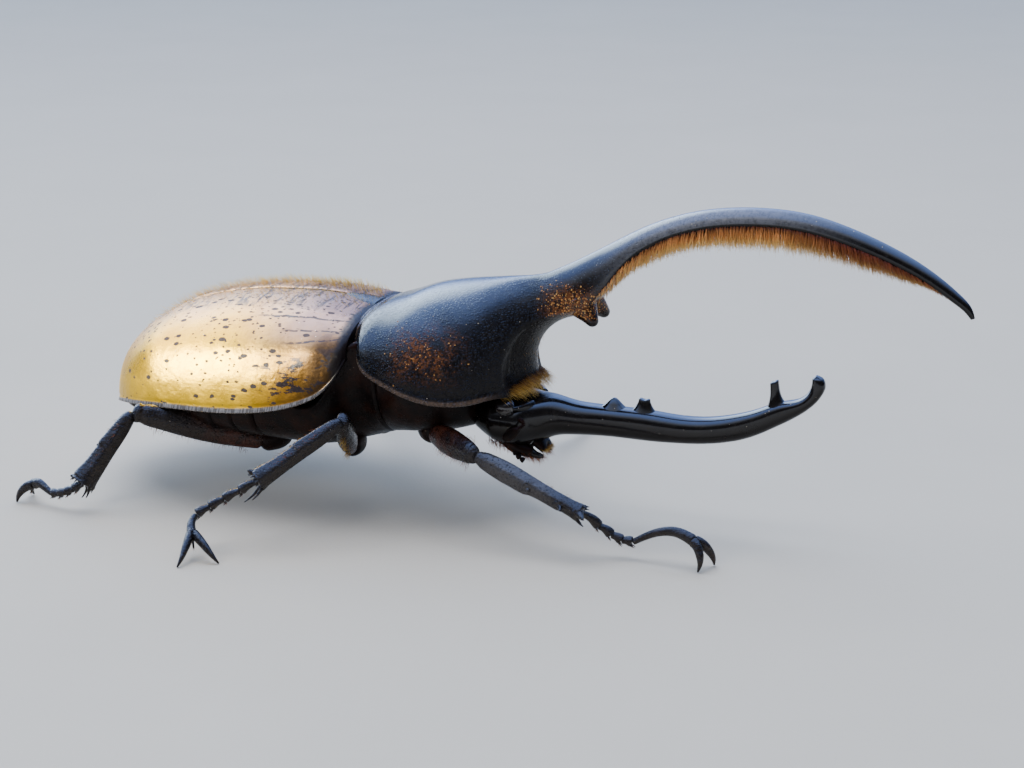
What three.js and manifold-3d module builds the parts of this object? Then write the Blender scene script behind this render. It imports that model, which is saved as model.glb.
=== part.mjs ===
// Male Hercules beetle, a rhinoceros beetle, as a still life-size model standing on its six feet.
// Millimetres, +X forward along the body, +Y to the beetle's left, +Z up.
// The body is described in a frame whose x = 0 is the seam between pronotum and wing cases on the
// midline and whose z = 0 is the floor; the finished group is moved so that the origin is the middle
// of its footprint.
import * as THREE from 'three';
import { mergeVertices } from 'three/addons/utils/BufferGeometryUtils.js';
import Module from 'manifold-3d';

const wasm = await Module();
wasm.setup();

// ---------------------------------------------------------------- driving dimensions

const GAP = 0.3; // clearance between neighbouring pieces
const FLOOR = 0; // level on which the feet stand
const CLAW_SINK = 0.35; // how far a claw tip is cut back to make its small flat
const REACH = 150; // farther than any point of the beetle lies from where its frame begins

// Wing cases, from base to tip: x, half width, rim height, suture height.
const ELYTRA = [
  [0.9, 11.0, 31.4, 33.7],
  [0.0, 15.4, 29.2, 34.1],
  [-1.1, 17.6, 26.2, 34.5],
  [-3.2, 18.9, 23.4, 34.9],
  [-6.4, 19.6, 21.3, 35.4],
  [-11.0, 20.2, 19.7, 35.7],
  [-17.0, 20.5, 18.6, 35.5],
  [-23.5, 20.4, 18.0, 35.0],
  [-30.0, 19.8, 17.7, 33.8],
  [-36.0, 18.4, 17.2, 32.1],
  [-41.5, 15.9, 16.4, 29.3],
  [-46.0, 12.4, 15.3, 25.8],
  [-49.0, 8.2, 14.1, 21.4],
  [-50.3, 4.6, 13.2, 17.4],
  [-50.7, 2.0, 12.6, 14.4],
];
const ELYTRA_SQUARE = 2.45; // exponent of the rounded-square cross-section

// Pronotum and its horn, from hind edge to tip: top x, top z, rim x, rim z, half width, depth below
// the rim, squareness. Top and rim points lie on the midline and set the tilt of each section.
const SHIELD = [
  [-0.2, 34.5, 0.0, 30.6, 12.0, 0.8, 2.3],
  [1.2, 35.2, 1.3, 28.0, 15.6, 1.0, 2.3],
  [4.2, 36.3, 4.2, 25.9, 17.2, 1.2, 2.3],
  [9.0, 38.2, 9.0, 24.2, 17.6, 1.2, 2.2],
  [13.2, 39.3, 13.4, 23.1, 17.1, 1.2, 2.1],
  [17.3, 40.0, 17.8, 22.6, 15.7, 1.2, 2.1],
  [21.2, 40.6, 21.6, 22.6, 13.2, 1.2, 2.1],
  [24.2, 41.1, 24.4, 23.1, 9.9, 1.0, 1.95],
  [26.4, 41.4, 26.2, 24.0, 7.1, 0.8, 1.8],
  [28.0, 41.7, 27.4, 25.3, 5.3, 0.7, 1.8],
  [29.6, 42.1, 28.2, 28.0, 4.8, 0.8, 1.9],
  [31.0, 42.7, 29.2, 30.2, 4.7, 0.9, 2.0],
  [32.6, 43.5, 30.8, 32.0, 4.5, 1.0, 2.0],
  [34.4, 44.4, 32.7, 33.8, 4.4, 1.0, 2.0],
  [36.4, 45.5, 34.9, 35.6, 4.3, 1.0, 2.0],
  [39.4, 47.2, 38.9, 38.9, 4.1, 1.0, 2.0],
  [42.8, 49.2, 43.4, 44.9, 3.6, 1.2, 2.0],
];
// Horn of the pronotum, along the midline of its back: x, z, thickness, half width.
const HORN_TOP = [
  [46.6, 51.3, 4.3, 3.2],
  [51.0, 53.2, 3.8, 2.85],
  [56.0, 54.7, 3.6, 2.6],
  [61.5, 55.6, 3.5, 2.4],
  [67.5, 55.9, 3.4, 2.25],
  [74.0, 55.4, 3.3, 2.1],
  [80.0, 53.9, 3.1, 1.9],
  [85.5, 51.9, 2.85, 1.7],
  [90.5, 49.6, 2.5, 1.5],
  [95.0, 46.9, 2.1, 1.2],
  [98.4, 44.3, 1.7, 0.9],
  [100.3, 42.2, 1.2, 0.6],
  [100.8, 40.8, 0.7, 0.35],
];
const HORN_RISE = 0.62; // share of the horn's thickness that lies above its widest line
const HORN_CUTS = [35.4, 61.0, 83.0]; // x of the cuts that part shield, base, middle and tip
const THROAT = { x: 34.5, z: 25.0, across: 8.3, up: 7.4 }; // hollow under the root of the horn
const TOOTH = { root: [38.2, 2.6, 38.6], tip: [39.6, 3.6, 34.7], radius: 1.75 };
const SPIKE_TIP = 0.3; // radius of a spike's tip as a share of the radius of its foot

// Head and its horn, from neck to tip: x and z of the back, x and z of the underside, half width.
const HEAD = [
  [18.0, 20.6, 18.0, 14.4, 4.8],
  [20.5, 21.6, 20.5, 12.9, 6.4],
  [23.5, 22.0, 23.5, 11.9, 7.2],
  [26.5, 21.8, 26.8, 11.8, 6.6],
  [29.0, 21.3, 29.2, 12.8, 4.8],
  [31.5, 20.7, 31.6, 14.0, 3.2],
  [35.0, 19.9, 34.8, 14.6, 2.5],
];
const HEAD_HORN = [
  [38.5, 19.6, 38.3, 14.9, 2.35],
  [43.5, 19.8, 43.2, 15.1, 2.25],
  [48.5, 19.8, 48.6, 15.1, 2.15],
  [53.5, 19.6, 53.8, 15.3, 2.1],
  [58.5, 19.8, 59.2, 15.9, 2.0],
  [63.2, 20.8, 64.6, 17.7, 1.85],
  [67.3, 22.4, 69.2, 20.0, 1.7],
  [70.8, 23.9, 73.0, 22.4, 1.5],
  [73.8, 25.0, 75.9, 24.7, 1.3],
  [75.2, 26.6, 77.5, 26.9, 1.1],
  [75.4, 28.4, 76.9, 29.1, 0.8],
];
const HEAD_CUTS = [34.0, 56.0]; // x of the cuts that part head, horn base and horn tip
// Teeth on the back of the head's horn: place of the foot, forward lean, height, half width and length.
const HEAD_TEETH = [
  { x: 41.9, z: 19.4, lean: 0.1, height: 1.9, wide: 0.9, long: 1.6 },
  { x: 47.2, z: 19.5, lean: 0.0, height: 2.6, wide: 0.9, long: 1.6 },
  { x: 69.6, z: 22.8, lean: 0.2, height: 4.4, wide: 0.85, long: 1.25 },
];

// Underside of the body, from neck to tail: x, half width, height of its top, height of its bottom.
const UNDERSIDE = [
  [19.0, 7.0, 20.5, 15.0],
  [15.0, 11.6, 21.5, 14.0],
  [9.0, 14.4, 22.8, 13.2],
  [3.6, 14.0, 27.0, 12.2],
  [1.2, 14.6, 30.8, 11.4],
  [-1.6, 15.6, 28.0, 10.6],
  [-5.0, 16.4, 20.6, 9.8],
  [-10.5, 17.0, 19.0, 9.4],
  [-17.5, 17.2, 17.8, 9.8],
  [-24.5, 17.0, 17.2, 10.2],
  [-31.5, 16.0, 16.8, 10.4],
  [-38.0, 14.0, 16.2, 10.8],
  [-43.5, 10.8, 15.2, 11.2],
  [-47.4, 7.0, 13.8, 11.3],
  [-49.2, 3.4, 12.4, 11.3],
];
const UNDERSIDE_CUTS = [3.9, -17.5, -44.5]; // x of the cuts between its four plates
const WAIST = { inside: 11.5, over: 24.0 }; // it is hollow within this half width above this height

const SCUTELLUM = { front: -0.6, back: -7.2, half: 2.8, rise: 0.2, deep: 2.2 };
const EYE = { at: [24.9, 6.9, 20.0], radii: [1.75, 1.35, 1.6] };

// Mouthparts and feelers, as points along the middle of each with its half width and half height.
const MANDIBLE = {
  path: [[26.4, 2.9, 12.2], [28.0, 2.7, 11.2], [29.4, 2.9, 10.6]],
  halves: [[0.9, 1.1], [0.8, 0.8], [0.4, 0.45]],
};
const PALP = {
  path: [[25.2, 4.0, 12.4], [26.0, 4.7, 11.1], [27.4, 4.9, 10.4]],
  halves: [[0.4, 0.4], [0.42, 0.42], [0.5, 0.5], [0.3, 0.3]],
};
const FEELER = {
  path: [[26.3, 5.6, 17.2], [27.8, 6.7, 17.9], [28.4, 7.6, 17.4], [27.4, 7.8, 17.1]],
  halves: [[0.42, 0.42], [0.36, 0.36], [0.34, 0.34], [0.4, 0.4]],
};
const CLUB = { at: [26.5, 7.9, 15.8], radii: [1.75, 0.75, 0.85], dip: 38 };
// Upper lip, a short plate: x, z, half width and half thickness from its root to its blunt front.
const CLYPEUS = [
  [28.0, 12.9, 2.5, 1.0], [29.3, 12.0, 2.4, 0.9], [30.1, 11.2, 2.0, 0.7], [30.5, 10.8, 1.6, 0.45],
];

// Profiles of the leg lengths: half width and half height at equal steps from base to end.
const COXA = [[1.6, 2.0], [2.1, 2.6], [1.9, 2.3], [1.4, 1.7]];
const FEMUR = [[1.1, 1.5], [1.6, 2.2], [1.7, 2.4], [1.5, 2.1], [1.2, 1.6]];
const TIBIA = {
  fore: [[1.2, 1.4], [1.35, 1.65], [1.2, 1.4], [0.95, 1.1], [1.05, 1.15]],
  mid: [[0.95, 1.1], [1.15, 1.4], [1.2, 1.45], [1.3, 1.55], [1.5, 1.75]],
  hind: [[1.0, 1.15], [1.25, 1.55], [1.35, 1.65], [1.5, 1.85], [1.8, 2.1]],
};
const CLAW = [[0.55, 0.6], [0.46, 0.48], [0.38, 0.38], [0.32, 0.32]];
const FOOT_SEGMENT = { neck: 0.5, end: 0.82 }; // radii of one of the four short foot segments
const LAST_SEGMENT = [0.5, 0.6, 0.72, 0.95]; // radii along the long segment that bears the claws

// Teeth along the shin: share of its length, degrees round from the top to the outer side, length.
const SHIN_TEETH = {
  fore: [[0.5, 100, 0.9], [0.79, 105, 1.6], [0.98, 80, 2.2]],
  mid: [[0.5, 40, 1.0], [0.95, 30, 1.6]],
  hind: [[0.48, 40, 1.1], [0.94, 30, 1.5]],
};
const SPURS = { fore: [2.2], mid: [4.4, 3.2], hind: [3.0, 2.4] }; // lengths of those round its end

// Where each leg runs: base, hip, knee and ankle, the ends of the four short foot segments, the
// bends of the last segment, and the tips of the two claws.
const LEGS = {
  fore_right: {
    kind: 'fore',
    base: [9.6, -4.4, 15.0], hip: [12.2, -8.2, 14.4], knee: [23.8, -18.0, 14.8], ankle: [43.0, -20.0, 7.8],
    joints: [[45.4, -18.4, 5.4], [47.3, -17.7, 3.9], [49.0, -17.5, 3.1], [50.8, -17.4, 3.0]],
    last: [[54.4, -17.3, 5.0], [58.2, -17.5, 5.7], [61.3, -17.8, 4.6]],
    claws: [[62.3, -19.6, 0], [64.0, -15.6, 0]],
  },
  fore_left: {
    kind: 'fore',
    base: [9.6, 4.4, 15.0], hip: [12.2, 8.4, 14.2], knee: [19.6, 19.0, 14.6], ankle: [22.2, 34.6, 6.2],
    joints: [[22.8, 36.4, 4.9], [23.0, 37.8, 4.0], [23.2, 39.2, 3.4], [23.4, 40.6, 3.1]],
    last: [[23.5, 42.6, 3.8], [23.4, 44.6, 4.1], [23.2, 46.2, 3.4]],
    claws: [[21.0, 49.2, 0], [25.2, 49.6, 0]],
  },
  mid_right: {
    kind: 'mid',
    base: [-3.5, -4.4, 11.0], hip: [-3.0, -8.8, 10.4], knee: [1.6, -22.0, 19.6], ankle: [-9.4, -32.2, 11.0],
    joints: [[-11.8, -33.8, 9.6], [-14.0, -35.2, 8.4], [-15.9, -36.6, 7.3], [-17.6, -38.0, 6.3]],
    last: [[-17.8, -39.2, 5.4], [-17.4, -40.2, 4.5], [-16.8, -41.0, 3.7]],
    claws: [[-17.0, -46.2, 0], [-11.4, -42.4, 0]],
  },
  mid_left: {
    kind: 'mid',
    base: [-3.5, 4.4, 11.0], hip: [-3.0, 8.8, 10.4], knee: [0.2, 22.0, 19.4], ankle: [-11.0, 32.0, 10.4],
    joints: [[-13.4, 33.6, 9.0], [-15.6, 35.2, 7.8], [-17.4, 36.8, 6.8], [-19.0, 38.2, 5.9]],
    last: [[-20.0, 39.4, 5.2], [-20.6, 40.8, 4.4], [-20.8, 41.8, 3.6]],
    claws: [[-23.8, 45.6, 0], [-18.0, 46.2, 0]],
  },
  hind_right: {
    kind: 'hind',
    base: [-17.0, -4.2, 10.6], hip: [-19.6, -9.0, 9.6], knee: [-38.4, -21.4, 16.6],
    ankle: [-44.8, -28.4, 5.0],
    joints: [[-46.4, -28.8, 4.0], [-47.9, -28.9, 3.3], [-49.4, -28.8, 2.8], [-50.9, -28.6, 2.6]],
    last: [[-52.4, -28.2, 3.3], [-54.0, -27.7, 3.8], [-55.4, -27.3, 3.2]],
    claws: [[-58.0, -28.8, 0], [-57.4, -24.2, 0]],
  },
  hind_left: {
    kind: 'hind',
    base: [-17.0, 4.2, 10.6], hip: [-19.6, 9.0, 9.6], knee: [-37.0, 22.4, 16.2], ankle: [-42.6, 31.2, 5.2],
    joints: [[-44.0, 32.3, 4.1], [-45.4, 33.2, 3.4], [-46.8, 34.0, 2.8], [-48.2, 34.8, 2.6]],
    last: [[-49.6, 35.7, 3.3], [-51.0, 36.5, 3.8], [-52.2, 37.2, 3.2]],
    claws: [[-54.8, 37.0, 0], [-51.8, 40.4, 0]],
  },
};

// ---------------------------------------------------------------- colours and finishes

const finish = (color, roughness) => new THREE.MeshStandardMaterial({ color, roughness, metalness: 0 });
const WING_CASE = finish(0xb8892a, 0.25);
const BLACK_SHELL = finish(0x0d0b0b, 0.22);
const BROWN_SHELL = finish(0x241310, 0.35);
const LEG_SHELL = finish(0x17151a, 0.35);
const EYE_SHELL = finish(0x15161a, 0.08);

// ---------------------------------------------------------------- geometry helpers

const vec = (x, y, z) => new THREE.Vector3(x, y, z);
const vectors = (rows) => rows.map((row) => vec(...row));
const mix = (a, b, t) => a.clone().lerp(b, t);
const mirrored = (side, [x, y, z]) => [x, side * y, z];

// Row of a table at t from 0 at its first row to 1 at its last, on a smooth curve through the rows.
function station(table, t) {
  const place = t * (table.length - 1);
  const i = Math.min(Math.floor(place), table.length - 2);
  const f = place - i;
  const row = (k) => table[Math.max(0, Math.min(table.length - 1, k))];
  return table[i].map((_, c) => {
    const [a, b, d, e] = [row(i - 1)[c], row(i)[c], row(i + 1)[c], row(i + 2)[c]];
    const linear = d - a;
    const square = 2 * a - 5 * b + 4 * d - e;
    const cube = 3 * b - a - 3 * d + e;
    return b + 0.5 * f * (linear + f * (square + f * cube));
  });
}

// A closed surface of triangles as a solid, turned to face outwards.
function solidFrom(positions, index) {
  const at = (i) => vec(positions[3 * i], positions[3 * i + 1], positions[3 * i + 2]);
  let volume = 0;
  for (let i = 0; i < index.length; i += 3) {
    volume += at(index[i]).dot(at(index[i + 1]).cross(at(index[i + 2])));
  }
  return new wasm.Manifold(new wasm.Mesh({
    numProp: 3,
    vertProperties: new Float32Array(positions),
    triVerts: new Uint32Array(volume > 0 ? index : index.slice().reverse()),
  }));
}

// A three.js geometry as a solid.
function solidOf(geometry) {
  const bare = geometry.clone();
  bare.deleteAttribute('normal');
  bare.deleteAttribute('uv');
  const merged = mergeVertices(bare, 1e-4);
  return solidFrom(Array.from(merged.attributes.position.array), Array.from(merged.index.array));
}

// A solid as a named mesh.
function piece(name, solid, material) {
  const { numProp, vertProperties, triVerts } = solid.getMesh();
  const positions = new Float32Array((vertProperties.length / numProp) * 3);
  for (let i = 0; i < positions.length / 3; i += 1) {
    positions.set(vertProperties.subarray(i * numProp, i * numProp + 3), i * 3);
  }
  const geometry = new THREE.BufferGeometry();
  geometry.setAttribute('position', new THREE.BufferAttribute(positions, 3));
  geometry.setIndex(new THREE.BufferAttribute(triVerts, 1));
  const mesh = new THREE.Mesh(geometry, material);
  mesh.name = name;
  return mesh;
}

// Rings with the same number of points, skinned one to the next and closed by a fan at both ends.
function loft(rings) {
  const sides = rings[0].length;
  const corners = rings.flat();
  const index = [];
  for (let r = 0; r + 1 < rings.length; r += 1) {
    for (let s = 0; s < sides; s += 1) {
      const [a, b] = [r * sides + s, r * sides + ((s + 1) % sides)];
      index.push(a, b, b + sides, a, b + sides, a + sides);
    }
  }
  const lastRing = corners.length - sides;
  for (const [start, turn] of [[0, -1], [lastRing, 1]]) {
    const middle = corners.length;
    const ring = corners.slice(start, start + sides);
    corners.push(ring.reduce((sum, p) => sum.add(p), vec(0, 0, 0)).divideScalar(sides));
    for (let s = 0; s < sides; s += 1) {
      const [a, b] = [start + s, start + ((s + 1) % sides)];
      index.push(middle, turn > 0 ? a : b, turn > 0 ? b : a);
    }
  }
  return solidFrom(corners.flatMap((p) => [p.x, p.y, p.z]), index);
}

// A tube of oval section along centres, each with its half width and half height. `grow` swells it
// and lengthens both ends.
function tube(centres, halves, { sides = 8, grow = 0 } = {}) {
  const rings = centres.map((centre, i) => {
    const ahead = centres[Math.min(i + 1, centres.length - 1)].clone()
      .sub(centres[Math.max(i - 1, 0)]).normalize();
    const across = ahead.clone().cross(vec(0, 0, 1)).normalize();
    const up = across.clone().cross(ahead).normalize();
    const [wide, tall] = halves[i];
    const stretch = (i === 0 ? -grow : 0) + (i === centres.length - 1 ? grow : 0);
    return Array.from({ length: sides }, (_, s) => {
      const angle = (2 * Math.PI * s) / sides;
      return centre.clone().addScaledVector(ahead, stretch)
        .addScaledVector(across, (wide + grow) * Math.sin(angle))
        .addScaledVector(up, (tall + grow) * Math.cos(angle));
    });
  });
  return loft(rings);
}

// A tube on a smooth path through a few bends, with its profile spread evenly along it.
function limb(bends, profile, { steps = 5, sides = 8, grow = 0 } = {}) {
  const path = new THREE.CatmullRomCurve3(bends, false, 'centripetal');
  const shares = Array.from({ length: steps + 1 }, (_, i) => i / steps);
  return tube(shares.map((t) => path.getPointAt(t)), shares.map((t) => station(profile, t)), { sides, grow });
}

function block(low, high) {
  const size = high.map((h, i) => h - low[i]);
  const middle = high.map((h, i) => (h + low[i]) / 2);
  return solidOf(new THREE.BoxGeometry(...size).translate(...middle));
}

function ellipsoid(at, radii, around, up) {
  return solidOf(new THREE.SphereGeometry(1, around, up).scale(...radii).translate(...at));
}

// A blunt cone from the middle of its foot to its tip.
function spike(root, tip, radius, sides) {
  const axis = tip.clone().sub(root);
  const turn = new THREE.Quaternion().setFromUnitVectors(vec(0, 1, 0), axis.clone().normalize());
  const cone = new THREE.CylinderGeometry(radius * SPIKE_TIP, radius, axis.length(), sides);
  cone.applyQuaternion(turn);
  const middle = mix(root, tip, 0.5);
  return solidOf(cone.translate(middle.x, middle.y, middle.z));
}

// Point (across, up) of a rounded square of half width 1 at an angle from the top. An exponent of 2
// is an ellipse, and larger ones are squarer.
function rounded(angle, square) {
  const power = (v) => Math.sign(v) * Math.abs(v) ** (2 / square);
  return [power(Math.sin(angle)), power(Math.cos(angle))];
}

// The part of a solid between two x values.
const between = (solid, low, high) => solid.intersect(block([low, -REACH, -REACH], [high, REACH, REACH]));

// ---------------------------------------------------------------- wing cases

// One half of the domed back. Its section is a quarter of a rounded square, flat below.
function elytron(side, grow = 0) {
  const [steps, arc] = [13, 8];
  const rings = [];
  for (let r = 0; r <= steps; r += 1) {
    const [x, half, rim, top] = station(ELYTRA, r / steps);
    const along = x + (r === 0 ? grow : 0) - (r === steps ? grow : 0);
    const ring = [vec(along, side * (GAP / 2 - grow), rim - grow)];
    for (let a = 0; a <= arc; a += 1) {
      const [across, up] = rounded((a / arc) * (Math.PI / 2), ELYTRA_SQUARE);
      const y = Math.max(GAP / 2 - grow, (half + grow) * across);
      ring.push(vec(along, side * y, rim - grow + (top + 2 * grow - rim) * up));
    }
    rings.push(ring);
  }
  return loft(rings);
}

// Small triangular plate between the bases of the wing cases.
function scutellum(grow = 0) {
  const { front, back, half, rise, deep } = SCUTELLUM;
  const length = front - back;
  const rings = [0, 0.4, 0.75, 0.97].map((t, i, all) => {
    const x = front - length * t + (i === 0 ? grow : 0) - (i === all.length - 1 ? grow : 0);
    const wide = half * (1 - 0.92 * t * t) + grow;
    const top = ELYTRA[2][3] + rise + grow + 0.9 * t;
    const low = top - deep - 2 * grow;
    const [edge, slope] = [top - 0.5, top - 0.1];
    return vectors([
      [x, wide, edge], [x, wide / 2, slope], [x, -wide / 2, slope], [x, -wide, edge],
      [x, -wide, low], [x, wide, low],
    ]);
  });
  return loft(rings);
}

// ---------------------------------------------------------------- pronotum and its horn

// Ring through a top and a rim point on the midline.
function shieldRing([topX, topZ, rimX, rimZ, half, depth, square], grow) {
  const sides = 12;
  const rim = vec(rimX, 0, rimZ);
  const up = vec(topX, 0, topZ).sub(rim);
  const height = up.length();
  up.normalize();
  return Array.from({ length: sides }, (_, s) => {
    const [across, rise] = rounded((2 * Math.PI * s) / sides, square);
    const reach = (rise > 0 ? height : depth) + grow;
    return rim.clone().addScaledVector(up, reach * rise).add(vec(0, (half + grow) * across, 0));
  });
}

// The horn's sections as rows like those of SHIELD, square to its back.
function hornRows() {
  return HORN_TOP.map(([x, z, thick, half], i) => {
    const before = HORN_TOP[Math.max(0, i - 1)];
    const after = HORN_TOP[Math.min(HORN_TOP.length - 1, i + 1)];
    const back = vec(after[0] - before[0], 0, after[1] - before[1]).normalize();
    const rim = vec(x, 0, z).add(vec(back.z, 0, -back.x).multiplyScalar(thick * HORN_RISE));
    return [x, z, rim.x, rim.z, half, thick * (1 - HORN_RISE), 2];
  });
}

function shieldAndHorn(grow = 0) {
  const table = [...SHIELD, ...hornRows()];
  const steps = 32;
  const rings = [];
  for (let r = 0; r <= steps; r += 1) rings.push(shieldRing(station(table, r / steps), grow));
  rings[0].forEach((p) => { p.x -= grow; });
  const throat = new THREE.CylinderGeometry(1, 1, 40, 28);
  throat.scale(THROAT.across - grow, 1, THROAT.up - grow).translate(THROAT.x, 0, THROAT.z);
  return loft(rings).subtract(solidOf(throat));
}

// Pair of teeth under the root of the horn.
const hornTeeth = () => [1, -1].map((side) => spike(
  vec(...mirrored(side, TOOTH.root)), vec(...mirrored(side, TOOTH.tip)), TOOTH.radius, 8,
));

// ---------------------------------------------------------------- head and its horn

// Ring through a point on the back and a point on the underside, both on the midline.
function headRing([topX, topZ, lowX, lowZ, half], grow) {
  const sides = 10;
  const middle = vec((topX + lowX) / 2, 0, (topZ + lowZ) / 2);
  const up = vec(topX, 0, topZ).sub(middle);
  const height = up.length();
  up.normalize();
  return Array.from({ length: sides }, (_, s) => {
    const angle = (2 * Math.PI * s) / sides;
    return middle.clone().addScaledVector(up, (height + grow) * Math.cos(angle))
      .add(vec(0, (half + grow) * Math.sin(angle), 0));
  });
}

function headAndHorn(grow = 0) {
  const table = [...HEAD, ...HEAD_HORN];
  const steps = 26;
  const rings = [];
  for (let r = 0; r <= steps; r += 1) rings.push(headRing(station(table, r / steps), grow));
  return loft(rings);
}

function headTooth({ x, z, lean, height, wide, long }) {
  const [sides, sunk] = [6, 0.8];
  const rings = [0, 0.5, 1].map((t) => {
    const shrink = 1 - 0.68 * t ** 1.2;
    return Array.from({ length: sides }, (_, s) => {
      const angle = (2 * Math.PI * s) / sides;
      return vec(x + lean * height * t + long * shrink * Math.cos(angle),
        wide * shrink * Math.sin(angle), z - sunk + (height + sunk) * t);
    });
  });
  return loft(rings);
}

function clypeus() {
  const [bow, undercut, taper] = [0.3, 0.5, 0.8];
  return loft(CLYPEUS.map(([x, z, wide, thick]) => vectors([
    [x, wide, z], [x + bow, 0, z + thick], [x, -wide, z],
    [x - undercut, -wide * taper, z - thick], [x - undercut, wide * taper, z - thick],
  ])));
}

// A mouthpart or the stalk of a feeler on one side of the head.
const mouthpart = ({ path, halves }, side, steps, sides) => limb(
  vectors(path.map((p) => mirrored(side, p))), halves, { steps, sides },
);

// Elbowed feeler whose three leaves are held shut as one club.
function antenna(side) {
  const [x, y, z] = CLUB.at;
  const club = new THREE.SphereGeometry(1, 7, 6).scale(...CLUB.radii);
  club.rotateY(THREE.MathUtils.degToRad(-CLUB.dip)).translate(x, side * y, z);
  return mouthpart(FEELER, side, 5, 5).add(solidOf(club));
}

// ---------------------------------------------------------------- underside

function underside() {
  const [steps, arc] = [14, 6];
  const rings = [];
  for (let r = 0; r <= steps; r += 1) {
    const [x, wide, top, low] = station(UNDERSIDE, r / steps);
    const ring = [vec(x, 0, top)];
    for (let a = 0; a <= arc; a += 1) {
      const [across, rise] = rounded(Math.PI / 2 + (a / arc) * Math.PI, 2);
      ring.push(vec(x, wide * across, top + (top - low) * rise));
    }
    rings.push(ring);
  }
  const [front, back] = [UNDERSIDE_CUTS[0] + 2, ELYTRA[2][0]];
  const { inside, over } = WAIST;
  return loft(rings).subtract(block([back, -inside, over], [front, inside, over + 20]));
}

// ---------------------------------------------------------------- legs

const hipJoint = ({ base, hip }, grow = 0) => {
  const [start, end] = vectors([base, hip]);
  return limb([start, mix(start, end, 1.15)], COXA, { steps: 3, grow });
};

const thigh = ({ hip, knee }, grow = 0) => limb(vectors([hip, knee]), FEMUR, { steps: 4, grow });

// Shin with the teeth on its outer side and the spurs round its end.
function shin({ kind, knee, ankle }, grow = 0) {
  const [start, end] = vectors([knee, ankle]);
  const ahead = end.clone().sub(start).normalize();
  const outer = ahead.clone().cross(vec(0, 0, -Math.sign(knee[1]))).normalize();
  const up = outer.clone().cross(ahead).normalize();
  up.multiplyScalar(Math.sign(up.z));
  let solid = limb([start, end], TIBIA[kind], { steps: 4, grow });
  for (const [share, degrees, long] of SHIN_TEETH[kind]) {
    const angle = THREE.MathUtils.degToRad(degrees);
    const [wide] = station(TIBIA[kind], share);
    const out = up.clone().multiplyScalar(Math.cos(angle)).addScaledVector(outer, Math.sin(angle));
    const root = mix(start, end, share).addScaledVector(out, wide - 0.8);
    const tip = root.clone().addScaledVector(out, 0.5 + long * 0.75).addScaledVector(ahead, long * 0.7);
    solid = solid.add(spike(root, tip, 0.9 + grow, 5));
  }
  SPURS[kind].forEach((long, i) => {
    const lean = i ? -0.35 : 0.3;
    const root = mix(start, end, 0.95).addScaledVector(up, -0.9).addScaledVector(outer, lean);
    const tip = root.clone().addScaledVector(ahead, long).addScaledVector(up, -0.28 * long)
      .addScaledVector(outer, lean * 2);
    solid = solid.add(spike(root, tip, 0.55 + grow, 5));
  });
  return solid;
}

// Foot of five segments that ends in two claws, each tip with a small flat on the floor.
function foot({ ankle, joints, last, claws }) {
  const stops = vectors([ankle, ...joints]);
  const { neck, end } = FOOT_SEGMENT;
  const centres = [];
  const halves = [];
  for (let i = 0; i + 1 < stops.length; i += 1) {
    centres.push(mix(stops[i], stops[i + 1], 0.1), mix(stops[i], stops[i + 1], 0.86));
    halves.push([neck, neck], [end, end]);
  }
  const long = new THREE.CatmullRomCurve3([stops.at(-1), ...vectors(last)], false, 'centripetal');
  LAST_SEGMENT.forEach((radius, i) => {
    centres.push(long.getPointAt(i / (LAST_SEGMENT.length - 1)));
    halves.push([radius, radius]);
  });
  let solid = tube(centres, halves, { sides: 5 });
  const root = long.getPointAt(0.9);
  const ahead = long.getTangentAt(1);
  for (const claw of vectors(claws)) {
    const bow = mix(root, claw, 0.5).addScaledVector(ahead, 0.9).add(vec(0, 0, 0.8));
    const below = claw.clone().add(vec(0, 0, FLOOR - CLAW_SINK));
    solid = solid.add(limb([root, bow, below], CLAW, { steps: 3, sides: 5 }));
  }
  return solid.subtract(block([-REACH, -REACH, FLOOR - 5], [REACH, REACH, FLOOR]));
}

// ---------------------------------------------------------------- assembly

const beetle = new THREE.Group();
const add = (name, solid, material) => beetle.add(piece(name, solid, material));
const half = GAP / 2;
const SIDES = [['right', -1], ['left', 1]];

// Pronotum with its horn in three lengths.
const shield = shieldAndHorn();
const shieldGrown = shieldAndHorn(GAP);
const [rootCut, middleCut, tipCut] = HORN_CUTS;
const teeth = hornTeeth().reduce((sum, tooth) => sum.add(tooth));
const hornBase = between(shield.add(teeth), rootCut + half, middleCut - half);
add('pronotum', between(shield, -REACH, rootCut - half), BLACK_SHELL);
add('thorax_horn_base', hornBase, BLACK_SHELL);
add('thorax_horn_middle', between(shield, middleCut + half, tipCut - half), BLACK_SHELL);
add('thorax_horn_tip', between(shield, tipCut + half, REACH), BLACK_SHELL);

// Wing cases with the plate between them.
add('scutellum', scutellum().subtract(shieldGrown), BLACK_SHELL);
const plateGrown = scutellum(GAP);
for (const [word, side] of SIDES) {
  add(`elytron_${word}`, elytron(side).subtract(shieldGrown).subtract(plateGrown), WING_CASE);
}

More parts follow.
